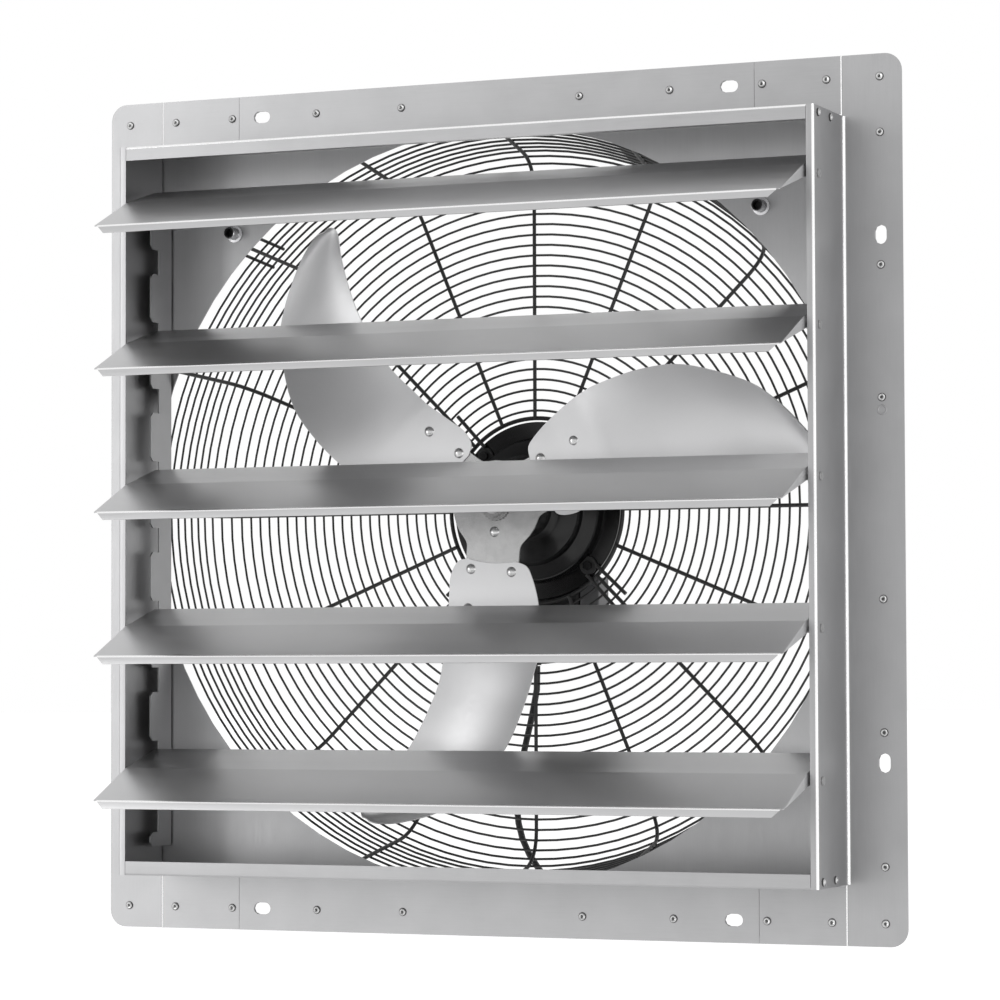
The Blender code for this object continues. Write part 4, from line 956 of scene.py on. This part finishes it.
class FAN_OT_frame(bpy.types.Operator):
    """Finishes of the flange, box and wall panel, and their rivets, with a painted highlight on the right and
    top bends and on the seams, and painted shade on the rivets
    """

    bl_idname = "shutter_fan.frame"
    bl_label = "Frame"

    def execute(self, context):
        paint_nodes(zinc_sheet(ALONG_Z), "wall_panel")
        corners = [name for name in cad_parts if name.startswith("corner_plate")]
        paint_nodes(zinc_sheet(ALONG_X), *corners)
        self.side_rail(-1, "side_rail_left")
        self.side_rail(1, "side_rail_right")
        self.end_rail(-1, "bottom_rail")
        self.end_rail(1, "top_rail")
        self.rivets(context.scene.fan_sheet.rivet_radius)
        self.dimples()
        self.seam_edges()
        return {"FINISHED"}

    def folded(self, work, section, half, upright):
        """A sheet bent along a line: its outer face as (out, y) points, drawn along Z or X."""
        section = [Vector(point) for point in section]
        line = [section[0]]
        for before, here, after in zip(section, section[1:], section[2:]):
            start = here + (before - here).normalized() * BEND_RADIUS
            end = here + (after - here).normalized() * BEND_RADIUS
            centre = start + end - here
            for step in range(BEND_STEPS + 1):
                turn = math.pi / 2 * step / BEND_STEPS
                line.append(centre + (start - centre) * math.cos(turn) + (end - centre) * math.sin(turn))
        line.append(section[-1])
        verts = [work.verts.new((out, y, -half) if upright else (-half, y, out)) for out, y in line]
        edges = [work.edges.new(pair) for pair in zip(verts, verts[1:])]
        grown = bmesh.ops.extrude_edge_only(work, edges=edges)
        shift = (0, 0, half * 2) if upright else (half * 2, 0, 0)
        bmesh.ops.translate(work, vec=shift, verts=new_verts(grown))
        if not upright:
            for vert in work.verts:
                if vert.co.y < LIP_BACK:
                    vert.co.x = math.copysign(LIP_HALF, vert.co.x)
        return [item for item in grown["geom"] if isinstance(item, bmesh.types.BMFace)]

    def flange(self, name, loops):
        """The flat flange of a rail, from its outline and its slots, as a mesh."""
        curve = bpy.data.curves.new(name, "CURVE")
        curve.dimensions = "2D"
        curve.fill_mode = "BOTH"
        curve.extrude = RAIL_SHEET / 2
        for loop in loops:
            spline = curve.splines.new("POLY")
            spline.points.add(len(loop) - 1)
            for point, (across, up) in zip(spline.points, loop):
                point.co = (across, up, 0, 1)
            spline.use_cyclic_u = True
        holder = bpy.data.objects.new(name, curve)
        mesh = bpy.data.meshes.new_from_object(holder)
        mesh.transform(Matrix.Translation((0, RAIL_SHEET / 2, 0)) @ Matrix.Rotation(math.radians(90), 4, "X"))
        bpy.data.objects.remove(holder)
        bpy.data.curves.remove(curve)
        return mesh

    def rail(self, name, reach, lip, half, upright, loops):
        """A rail of the frame: its folded box wall, and its flange with the slots cut out."""
        side = math.copysign(1, reach)
        section = [(reach + side * BEND_END, 0), (reach, 0)]
        section += [(reach, BOX_FRONT), (reach - side * lip, BOX_FRONT)]
        work = bmesh.new()
        faces = self.folded(work, section, half, upright)
        inside = Vector((-reach, 0, 0)) if upright else Vector((0, 0, -reach))
        wall = max(faces, key=lambda face: face.calc_area())
        wall.normal_update()
        if wall.normal.dot(inside) > 0:
            bmesh.ops.reverse_faces(work, faces=faces)
        bmesh.ops.solidify(work, geom=faces, thickness=RAIL_SHEET)
        # The bend faces take the second material: a painted highlight on the right and top rails, the sheet's
        # own finish on the others
        for face in work.faces:
            face.normal_update()
            if BEND_SLOPES[0] < abs(face.normal.y) < BEND_SLOPES[1]:
                face.material_index = 1
        mesh = self.flange(name, loops)
        work.from_mesh(mesh)
        bpy.data.meshes.remove(mesh)
        look = zinc_sheet(ALONG_Z if upright else ALONG_X)
        # Painted highlight: near-white bends on the right and top rails only, as if lit from the right and
        # above
        fold = metal("bright_fold") if name in ("side_rail_right", "top_rail") else look
        piece(f"{name}_sheet", work, "frame", [look, fold], [name], 28)

    def side_rail(self, side, name):
        inner, reach = BOX_HALF + BEND_END, BOX_HALF - RAIL_SHEET / 2
        outer, up = FLANGE_HALF_X - FLANGE_ROUND, FLANGE_HALF_Z - FLANGE_ROUND
        outline = [(inner, ROOF_HALF), (inner, -ROOF_HALF), (reach, -ROOF_HALF), (reach, -FLANGE_HALF_Z)]
        outline += arc_points((outer, -up), FLANGE_ROUND, 270, 360, 8)
        outline += arc_points((outer, up), FLANGE_ROUND, 0, 90, 8)
        outline += [(reach, FLANGE_HALF_Z), (reach, ROOF_HALF)]
        loops = [outline, *(slot_points((RIVET_X, end * SIDE_SLOT_Z), True) for end in (1, -1))]
        loops = [[(side * across, height) for across, height in loop] for loop in loops]
        self.rail(name, side * BOX_HALF, SIDE_LIP, ROOF_HALF, True, loops)

    def end_rail(self, end, name):
        low, high = ROOF_HALF + BEND_END, FLANGE_HALF_Z
        outline = [(-END_REACH, low), (END_REACH, low), (END_REACH, high), (-END_REACH, high)]
        loops = [outline, *(slot_points((side * END_SLOT_X, RIVET_Z), False) for side in (1, -1))]
        loops = [[(across, end * height) for across, height in loop] for loop in loops]
        self.rail(name, end * ROOF_HALF, END_LIP, BOX_HALF - END_WALL_INSET, False, loops)

    def seam_edges(self):
        """The corner plates' outer edges, rounded where they were sheared, as round wires in a near-white
        painted highlight.
        """
        work = bmesh.new()
        for side in SIDES:
            for end in SIDES:
                heights = (ROOF_HALF + SEAM_Y, FLANGE_HALF_Z - SEAM_Y / 2)
                wire(work, [(side * PLATE_EDGE, SEAM_Y, end * up) for up in heights], SEAM_WIRE)
        piece("seam_edges", work, "frame", [metal("bright_fold")])

    def dimples(self):
        """A pressed ring under one rivet of each side column."""
        work = bmesh.new()
        ring = bmesh.new()
        turn_profile(ring, PRESSED_RING, 20)
        repeat_at(work, ring, [Matrix.Translation((side * RIVET_X, 0, PRESSED_RING_Z)) for side in SIDES])
        piece("pressed_rings", work, "frame", [zinc_sheet(ALONG_Z)])

    def rivets(self, radius):
        """Blind rivets round the flange and in the box's sides: a dished head with a pin mark, whose centre
        and outer edge are painted shade.
        """
        spots = [(x * side, end * RIVET_Z) for end in SIDES for x in END_RIVETS for side in SIDES]
        spots += [(side * RIVET_X, end * up) for side in SIDES for up in SIDE_RIVETS for end in SIDES]
        places = [Matrix.Translation((x, 0, z)) for x, z in spots]
        for side in SIDES:
            for back, up in WALL_RIVETS:
                turn = Matrix.Rotation(math.radians(90 * side), 4, "Z")
                places.append(Matrix.Translation((side * BOX_HALF, back, up)) @ turn)
        head = bmesh.new()
        turn_profile(head, [(share * radius, -height) for share, height in RIVET_DISH], 20)
        # Painted shade: the head's centre and outer edge get the near-black material
        for face in head.faces:
            share = face.calc_center_median().xz.length / radius
            if not RIVET_UNSHADED_SHARES[0] <= share <= RIVET_UNSHADED_SHARES[1]:
                face.material_index = 1
        work = bmesh.new()
        repeat_at(work, head, places)
        looks = [metal("rivet_zinc"), metal("rivet_shade")]
        piece("frame_rivets", work, "frame", looks)


# Wire guard


def guard_point(distance):
    """A point (radius, y) of the guard's section, a distance along it from the inner ring."""
    flat = GUARD_FLAT_RADIUS - GUARD_INNER_RADIUS
    if distance <= flat:
        return GUARD_INNER_RADIUS + distance, GUARD_FACE_Y
    turn = min((distance - flat) / GUARD_BEND_RADIUS, GUARD_BEND)
    radius = GUARD_FLAT_RADIUS + GUARD_BEND_RADIUS * math.sin(turn)
    back = GUARD_FACE_Y - GUARD_BEND_RADIUS * (1 - math.cos(turn))
    rest = max(0, distance - flat - GUARD_BEND_RADIUS * GUARD_BEND)
    return radius + rest * math.cos(GUARD_BEND), back - rest * math.sin(GUARD_BEND)


def guard_length():
    fall = GUARD_FACE_Y - GUARD_BEND_RADIUS * (1 - math.cos(GUARD_BEND)) - GUARD_SEAT_Y
    flat = GUARD_FLAT_RADIUS - GUARD_INNER_RADIUS
    return flat + GUARD_BEND_RADIUS * GUARD_BEND + fall / math.sin(GUARD_BEND)


class FAN_OT_guard(bpy.types.Operator):
    """Wire guard: close rings on spokes, with hairpin feet and motor straps"""

    bl_idname = "shutter_fan.guard"
    bl_label = "Wire Guard"

    def execute(self, context):
        guard = context.scene.fan_guard
        total = guard_length()
        lift = (guard.ring_wire + guard.spoke_wire) * WIRE_OVERLAP_SHARE
        work = bmesh.new()
        disc_wire(work, guard_point(0), INNER_RING_WIRE)
        for index in range(int((total - LAST_RING_ROOM) / guard.ring_pitch)):
            disc_wire(work, guard_point(FIRST_RING + index * guard.ring_pitch), guard.ring_wire, 6)
        disc_wire(work, guard_point(total), OUTER_RING_WIRE)
        for spoke in range(guard.spokes):
            turn = 2 * math.pi * spoke / guard.spokes
            line = [self.inside(total * step / SPOKE_STEPS, lift, turn) for step in range(SPOKE_STEPS + 1)]
            wire(work, line, guard.spoke_wire)
        nodes = ["wire_guard", "guard_bend", "guard_skirt"]
        piece("guard_net", work, "frame", [coating("black_wire_coating")], nodes)
        self.hairpins(guard.spoke_wire, total, lift)
        return {"FINISHED"}

    def inside(self, distance, lift, turn, aside=0.0):
        """A point just inside the rings: towards the blades on the face, inwards on the side."""
        near, far = guard_point(distance - TANGENT_STEP), guard_point(distance + TANGENT_STEP)
        heading = Vector((far[0] - near[0], far[1] - near[1])).normalized()
        radius, back = guard_point(distance)
        return around((radius + heading.y * lift, back - heading.x * lift), turn, aside)

    def hairpins(self, spoke_wire, total, lift):
        """Doubled wires that end in eyes round the motor's bolts and the panel's bolts."""
        work = bmesh.new()
        for turn in DIAGONALS:
            for side in SIDES:
                line = []
                for step in range(HAIRPIN_STEPS + 1):
                    share = step / HAIRPIN_STEPS
                    aside = side * (HAIRPIN_ASIDE + HAIRPIN_SPREAD * share)
                    line.append(self.inside(HAIRPIN_LENGTH * share - FIRST_RING, lift, turn, aside))
                wire(work, line, spoke_wire)
                if turn == DIAGONALS[1]:
                    start = FOOT_START_SHARE - FOOT_STAGGER_SHARE * side
                    shares = [start + FOOT_RUN_SHARE * step / FOOT_STEPS for step in range(FOOT_STEPS + 1)]
                    foot = [self.inside(total * share, -lift, turn, side * FOOT_ASIDE) for share in shares]
                    wire(work, foot, FOOT_WIRE)
            for circle, hole, y, thickness in EYES:
                x, z = polar(circle, turn)
                profile = [(hole, y), (EYE_RADIUS, y), (EYE_RADIUS, y + thickness), (hole, y + thickness)]
                turn_profile(work, profile, 20, "Y", (x, 0, z))
        piece("guard_hairpins", work, "frame", [coating("black_wire_coating")])


class FAN_OT_fixings(bpy.types.Operator):
    """Flanged sleeve nuts of the guard's bolts, and the motor's bolts"""

    bl_idname = "shutter_fan.fixings"
    bl_label = "Bolts"

    def execute(self, context):
        for index, turn in enumerate(DIAGONALS):
            self.sleeve(index, *polar(FIXING_RADIUS, turn))
            self.motor_bolt(index, *polar(MOTOR_BOLT_CIRCLE, turn))
        return {"FINISHED"}

    def sleeve(self, index, x, z):
        name = f"guard_bolt_{index + 1}"
        low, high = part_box(name)
        profile = steps_before(NUT_COLLAR, high.y) + steps_before(NUT_FLANGE, NUT_SEAT_Y)
        profile += steps_behind(NUT_TIP, low.y)
        work = bmesh.new()
        turn_profile(work, profile, 28, "Y", (x, 0, z))
        looks = [metal("bright_zinc"), coating("black_moulding")]
        made = piece(f"guard_nut_{index + 1}", work, "frame", looks, [name])
        for face in made.data.polygons:
            reach = math.hypot(face.center.x - x, face.center.z - z)
            in_bore = reach < NUT_BORE_REACH and face.center.y < 0
            at_tip = face.center.y < low.y + NUT_RIM_WIDTH
            on_rim = abs(reach - NUT_RIM_REACH) < NUT_RIM_WIDTH and at_tip
            if in_bore or on_rim:
                face.material_index = 1

    def motor_bolt(self, index, x, z):
        name = f"motor_bolt_{index + 1}"
        low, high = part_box(name)
        start, end = low.y, high.y
        work = bmesh.new()
        for y in (start, end - MOTOR_BOLT_HEAD):
            prism(work, 6, MOTOR_BOLT_HEAD_RADIUS, (x, y, z), MOTOR_BOLT_HEAD)
        start, end = start + SHANK_INSET, end - SHANK_INSET
        shank = [(0, start), (MOTOR_BOLT_RADIUS, start), (MOTOR_BOLT_RADIUS, end), (0, end)]
        turn_profile(work, shank, 16, "Y", (x, 0, z))
        made = piece(f"motor_screw_{index + 1}", work, "frame", [motor_paint()], [name])
        rounded_edges(made, BOLT_EDGE)


# Motor


class FAN_OT_motor(bpy.types.Operator):
    """Motor shields, wiring box and capacitor"""

    bl_idname = "shutter_fan.motor"
    bl_label = "Motor"

    def execute(self, context):
        steel = ("stator_core", "rotor", "front_bearing", "rear_bearing", "motor_shaft")
        paint_nodes(metal("bright_steel"), *steel)
        paint_nodes(metal("winding_copper"), "front_winding", "rear_winding")
        paint_nodes(coating("grey_moulding"), "capacitor")
        paint_nodes(coating("black_moulding"), "terminal_box")
        self.front_shield()
        self.rear_shell()
        self.lid()
        return {"FINISHED"}

    def front_shield(self):
        name = "motor_front_shield"
        low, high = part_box(name)
        work = bmesh.new()
        profile = steps_before(SHIELD_OUTER, high.y) + steps_behind(SHIELD_INNER, low.y)
        turn_profile(work, [*profile, (SHIELD_BORE, high.y)], 96)
        piece("motor_face", work, "frame", [motor_paint()], [name], 24)

    def rear_shell(self):
        name = "motor_rear_shell"
        low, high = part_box(name)
        work = bmesh.new()
        profile = steps_before(SHELL_BACK, high.y) + steps_behind(SHELL_FRONT, low.y)
        turn_profile(work, profile + steps_before(SHELL_INNER, high.y), 96)
        rib = bmesh.new()
        inner, outer = (Vector(corner) + Vector((0, high.y, 0)) for corner in SHELL_RIB)
        block(rib, inner, outer, SHELL_RIB_ROUND)
        turns = [2 * math.pi * step / SHELL_RIBS for step in range(SHELL_RIBS)]
        repeat_at(work, rib, [Matrix.Rotation(turn, 4, "Y") for turn in turns])
        piece("motor_can", work, "frame", [motor_paint()], [name], 24)

    def lid(self):
        """The wiring box's lid with four cross-head screws."""
        low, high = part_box("terminal_lid")
        work = bmesh.new()
        block(work, low, (high.x, high.y - LID_RELIEF, high.z), EDGE_ROUND)
        screw = bmesh.new()
        turn_profile(screw, SCREW_HEAD, 14)
        places = []
        for x in (low.x + SCREW_INSET, high.x - SCREW_INSET):
            for z in (low.z + SCREW_INSET, high.z - SCREW_INSET):
                places.append(Matrix.Translation((x, high.y - SCREW_DEPTH, z)))
        repeat_at(work, screw, places)
        piece("box_lid", work, "frame", [coating("black_moulding")], ["terminal_lid"])


# Rotor


def blade_surface(out_share, chord_share):
    """A point of a blade in its arm's frame: out, back, aside, in metres."""
    last = len(BLADE_STATIONS) - 1
    place = out_share * last
    index = min(int(place), last - 1)
    picks = [BLADE_STATIONS[max(0, min(last, index + shift))] for shift in (-1, 0, 1, 2)]
    near, far = (between([Vector(pick[side]) for pick in picks], place - index) for side in (0, 1))
    spot = near.lerp(far, chord_share)
    hollow = 4 * chord_share * (1 - chord_share)
    rise = max(0, min(1, (place - 3) / 6))
    twist = min(1, abs(far.z - near.z) / BLADE_CAMBER / 2) * rise * rise * (3 - 2 * rise)
    back = spot.z + BLADE_CAMBER * twist * hollow
    scoop = ROOT_SCOOP * hollow * max(0, 1 - place / 3)
    return Vector((spot.x * BLADE_LENGTH + scoop, BLADE_FRONT + back * BLADE_LENGTH, spot.y * BLADE_LENGTH))


class FAN_OT_rotor(bpy.types.Operator):
    """Fan blades with their rivets, the hub plate and its nut"""

    bl_idname = "shutter_fan.rotor"
    bl_label = "Rotor"

    def execute(self, context):
        paint_nodes(metal("bright_steel"), "hub_boss")
        paint_nodes(metal("hub_steel"), "hub_spider")
        for index, turn in enumerate(ARM_ANGLES):
            self.blade(index, turn)
        self.rivets()
        self.nut()
        self.thread()
        return {"FINISHED"}

    def blade(self, index, turn):
        name = f"fan_blade_{index + 1}"
        work = bmesh.new()
        grid = bmesh.ops.create_grid(work, x_segments=78, y_segments=14, size=0.5)["verts"]
        for vert in grid:
            vert.co = blade_surface(vert.co.x + 0.5, vert.co.y + 0.5)
        bmesh.ops.recalc_face_normals(work, faces=work.faces)
        work.faces.ensure_lookup_table()
        if work.faces[0].normal.y > 0:
            bmesh.ops.reverse_faces(work, faces=work.faces)
        bmesh.ops.solidify(work, geom=work.faces[:], thickness=BLADE_SHEET)
        bmesh.ops.transform(work, matrix=Matrix.Rotation(-turn, 4, "Y"), verts=work.verts)
        look = satin_aluminium("blade_aluminium", EVEN, dulled=0.10, share=1.12)
        piece(f"blade_{index + 1}", work, "fan", [look], [name], 40)

    def rivets(self):
        """Domed rivet heads on both sides of each blade's root, and one on each arm."""
        head = bmesh.new()
        turn_profile(head, steps_before(RIVET_DOME, 0), 20)
        tail = bmesh.new()
        turn_profile(tail, RIVET_DOME, 20)
        heads = []
        tails = []
        for turn in ARM_ANGLES:
            for out, aside in RIVET_SPOTS:
                heads.append(Matrix.Translation(around((out, BLADE_FRONT), turn, aside)))
                tails.append(Matrix.Translation(around((out, SPIDER_FRONT + SPIDER_SHEET), turn, aside)))
            heads.append(Matrix.Translation(around((HUB_RIVET_OUT, SPIDER_FRONT), turn)))
        work = bmesh.new()
        repeat_at(work, head, heads)
        repeat_at(work, tail, tails)
        piece("rotor_rivets", work, "fan", [metal("rivet_zinc")])

    def nut(self):
        """A hexagon nut with a serrated flange."""
        low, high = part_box("hub_nut")
        work = bmesh.new()
        prism(work, 6, HUB_NUT_RADIUS, (0, low.y, 0), high.y - low.y - HUB_NUT_FLANGE + FIT_GAP)
        start = (0, high.y - HUB_NUT_FLANGE, 0)
        prism(
            work, HUB_NUT_FLANGE_SIDES, HUB_NUT_FLANGE_RADIUS, start, HUB_NUT_FLANGE, tooth=HUB_NUT_TOOTH
        )
        made = piece("shaft_nut", work, "fan", [metal("dark_zinc")], ["hub_nut"])
        rounded_edges(made, BOLT_EDGE)

    def thread(self):
        """The shaft's threaded end in the nut."""
        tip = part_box("motor_shaft")[0].y
        work = bmesh.new()
        turn_profile(work, steps_behind([*SHAFT_TIP, *ribs(*SHAFT_THREADS), *SHAFT_BACK], tip), 32)
        piece("shaft_thread", work, "fan", [metal("bright_steel")])


# Louvres


class FAN_OT_louvres(bpy.types.Operator):
    """The five louvres, their pins and cranks, and the bar that ties them"""

    bl_idname = "shutter_fan.louvres"
    bl_label = "Louvres"

    def execute(self, context):
        for index in range(LOUVRE_COUNT):
            self.sheet(index, context.scene.fan_sheet.fold_radius)
        pins = [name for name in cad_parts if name.startswith(("louvre_pin", "louvre_crank"))]
        paint_nodes(metal("bright_steel"), *pins)
        paint_nodes(zinc_sheet(ALONG_Z), "tie_bar")
        return {"FINISHED"}

    def panels(self, work, height):
        """A louvre's bare surface: rear and main panel, front lip, and a flap at each end."""
        slope = (LOUVRE_REAR[1] - LOUVRE_FOLD[1]) / (LOUVRE_REAR[0] - LOUVRE_FOLD[0])
        flap_top = (FLAP_BACK[0], LOUVRE_FOLD[1] + slope * (FLAP_BACK[0] - LOUVRE_FOLD[0]))

        def pair(place, inset=0.0):
            spots = [(side * (LOUVRE_HALF - inset), PIVOT_Y + place[0], height + place[1]) for side in SIDES]
            return [work.verts.new(spot) for spot in spots]

        rear, flap, fold, main = (pair(place) for place in (LOUVRE_REAR, flap_top, LOUVRE_FOLD, LOUVRE_MAIN))
        lip_top = pair(LOUVRE_MAIN, LIP_TOP_INSET)
        lip_low = pair(LOUVRE_LIP, LIP_LOW_INSET)
        for near, far in ((rear, flap), (flap, fold), (lip_top, lip_low)):
            work.faces.new((near[0], far[0], far[1], near[1]))
        work.faces.new((fold[0], main[0], lip_top[0], lip_top[1], main[1], fold[1]))
        low_back, low_front = pair(FLAP_BACK), pair(FLAP_FRONT)
        for which in (0, 1):
            ends = [row[which] for row in (flap, fold, main, low_front, low_back)]
            work.faces.new(ends if which else ends[::-1])

    def sheet(self, index, fold_radius):
        """One louvre: a strip folded twice, with a front lip and a bent flap at each end, and a near-white
        painted highlight on the folds along the front lip.
        """
        name = f"louvre_{index + 1}"
        work = bmesh.new()
        self.panels(work, PIVOT_TOP - LOUVRE_PITCH * index)
        bmesh.ops.recalc_face_normals(work, faces=work.faces)
        work.faces.ensure_lookup_table()
        if work.faces[0].normal.z < 0:
            bmesh.ops.reverse_faces(work, faces=work.faces)
        inner = [edge for edge in work.edges if len(edge.link_faces) == 2]
        folds = [edge for edge in inner if edge.calc_face_angle() > math.radians(5)]
        # The rounded folds take the second material, the painted highlight
        bevel_edges(work, folds, fold_radius, 3, 1)
        bmesh.ops.solidify(work, geom=work.faces[:], thickness=LOUVRE_SHEET)
        # Only the folds along the front lip keep the painted highlight; the rest is satin aluminium
        for face in work.faces:
            spot = face.calc_center_median()
            if spot.y > LIP_HIGHLIGHT_Y or abs(spot.x) > LIP_HIGHLIGHT_HALF:
                face.material_index = 0
        looks = [satin_aluminium("satin_aluminium", ALONG_X), metal("bright_fold")]
        piece(f"louvre_sheet_{index + 1}", work, name, looks, [name], 20)


# Stage


class FAN_OT_stage(bpy.types.Operator):
    """Camera, pale floor, ambient light and soft lamps"""

    bl_idname = "shutter_fan.stage"
    bl_label = "Stage"

    def execute(self, context):
        stage = context.scene.fan_stage
        self.camera(context)
        self.floor(stage)
        self.sky(context, stage.sky_strength)
        self.lamp("key_lamp", stage.key_power)
        self.lamp("fill_lamp", stage.fill_power)
        self.lamp("side_lamp", stage.side_power)
        context.scene.view_settings.view_transform = "Standard"
        return {"FINISHED"}

    def camera(self, context):
        data = bpy.data.cameras.new("photo_view")
        data.lens = CAMERA_LENS
        data.sensor_width = 36
        data.clip_start = 0.05
        data.clip_end = 200
        made = placed("photo_view", data)
        place = Matrix.Translation(CAMERA_PLACE)
        for degrees, axis in CAMERA_TURNS:
            place @= Matrix.Rotation(math.radians(degrees), 4, axis)
        made.matrix_world = place
        context.scene.camera = made

    def floor(self, stage):
        work = bmesh.new()
        bmesh.ops.create_circle(work, cap_ends=True, radius=FLOOR_RADIUS, segments=64)
        bmesh.ops.translate(work, vec=(0, 0, stage.floor_height), verts=work.verts)
        mesh = bpy.data.meshes.new("floor")
        work.to_mesh(mesh)
        work.free()
        look = bpy.data.materials.new("pale_floor")
        look.use_nodes = True
        tree = look.node_tree
        shader = tree.nodes["Principled BSDF"]
        shader.inputs["Base Color"].default_value = (*stage.floor_colour, 1)
        shader.inputs["Roughness"].default_value = 0.8
        glow = new_node(tree, "ShaderNodeEmission", Color=WHITE, Strength=FLOOR_GLOW)
        both = tree.nodes.new("ShaderNodeAddShader")
        tree.links.new(shader.outputs[0], both.inputs[0])
        tree.links.new(glow.outputs[0], both.inputs[1])
        self.seen_or_not(tree, both, shader, "Material Output")
        mesh.materials.append(look)
        placed("floor", mesh)

    def seen_or_not(self, tree, seen, unseen, output):
        """One shader for rays from the camera, from gloss and through glass, and one for the rest."""
        path = tree.nodes.new("ShaderNodeLightPath")
        total = path.outputs["Is Camera Ray"]
        for label in ("Is Glossy Ray", "Is Transmission Ray"):
            add = tree.nodes.new("ShaderNodeMath")
            add.operation = "ADD"
            add.use_clamp = True
            tree.links.new(total, add.inputs[0])
            tree.links.new(path.outputs[label], add.inputs[1])
            total = add.outputs[0]
        pick = tree.nodes.new("ShaderNodeMixShader")
        for index, source in enumerate((total, unseen.outputs[0], seen.outputs[0])):
            tree.links.new(source, pick.inputs[index])
        tree.links.new(pick.outputs[0], tree.nodes[output].inputs[0])

    def sky(self, context, strength):
        world = bpy.data.worlds.new("studio")
        world.use_nodes = True
        context.scene.world = world
        tree = world.node_tree
        light = tree.nodes["Background"]
        light.inputs["Color"].default_value = WHITE
        light.inputs["Strength"].default_value = strength
        white = new_node(tree, "ShaderNodeBackground", Color=WHITE, Strength=1.0)
        self.seen_or_not(tree, white, light, "World Output")

    def lamp(self, name, power):
        size, place = LAMPS[name]
        data = bpy.data.lights.new(name, "AREA")
        data.energy = power
        data.shape = "RECTANGLE"
        data.size, data.size_y = size
        made = placed(name, data)
        made.location = place
        made.rotation_mode = "QUATERNION"
        made.rotation_quaternion = (-Vector(place)).to_track_quat("-Z", "Y")


class FAN_PT_looks(bpy.types.Panel):
    """Sizes, colours and build steps of the fan's looks"""

    bl_idname = "FAN_PT_looks"
    bl_label = "Exhaust Fan"
    bl_space_type = "VIEW_3D"
    bl_region_type = "UI"
    bl_category = "Exhaust Fan"

    def draw(self, context):
        layout = self.layout
        for label in GROUPS:
            settings = getattr(context.scene, label)
            for name in type(settings).__annotations__:
                layout.prop(settings, name)
        for step in STEPS:
            layout.operator(step.bl_idname)


GROUPS = {
    "fan_sheet": SheetSettings,
    "fan_guard": GuardSettings,
    "fan_motor": MotorSettings,
    "fan_cord": CordSettings,
    "fan_stage": StageSettings,
}
STEPS = (
    FAN_OT_stage,
    FAN_OT_cord,
    FAN_OT_frame,
    FAN_OT_guard,
    FAN_OT_fixings,
    FAN_OT_motor,
    FAN_OT_rotor,
    FAN_OT_louvres,
)
CLASSES = (*GROUPS.values(), *STEPS, FAN_PT_looks)


def register():
    for made in CLASSES:
        bpy.utils.register_class(made)
    for label, kind in GROUPS.items():
        setattr(bpy.types.Scene, label, PointerProperty(type=kind))


def unregister():
    for label in GROUPS:
        delattr(bpy.types.Scene, label)
    for made in reversed(CLASSES):
        bpy.utils.unregister_class(made)


def main():
    register()
    for step in STEPS:
        area, name = step.bl_idname.split(".")
        getattr(getattr(bpy.ops, area), name)()
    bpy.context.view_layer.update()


if __name__ == "__main__":
    main()
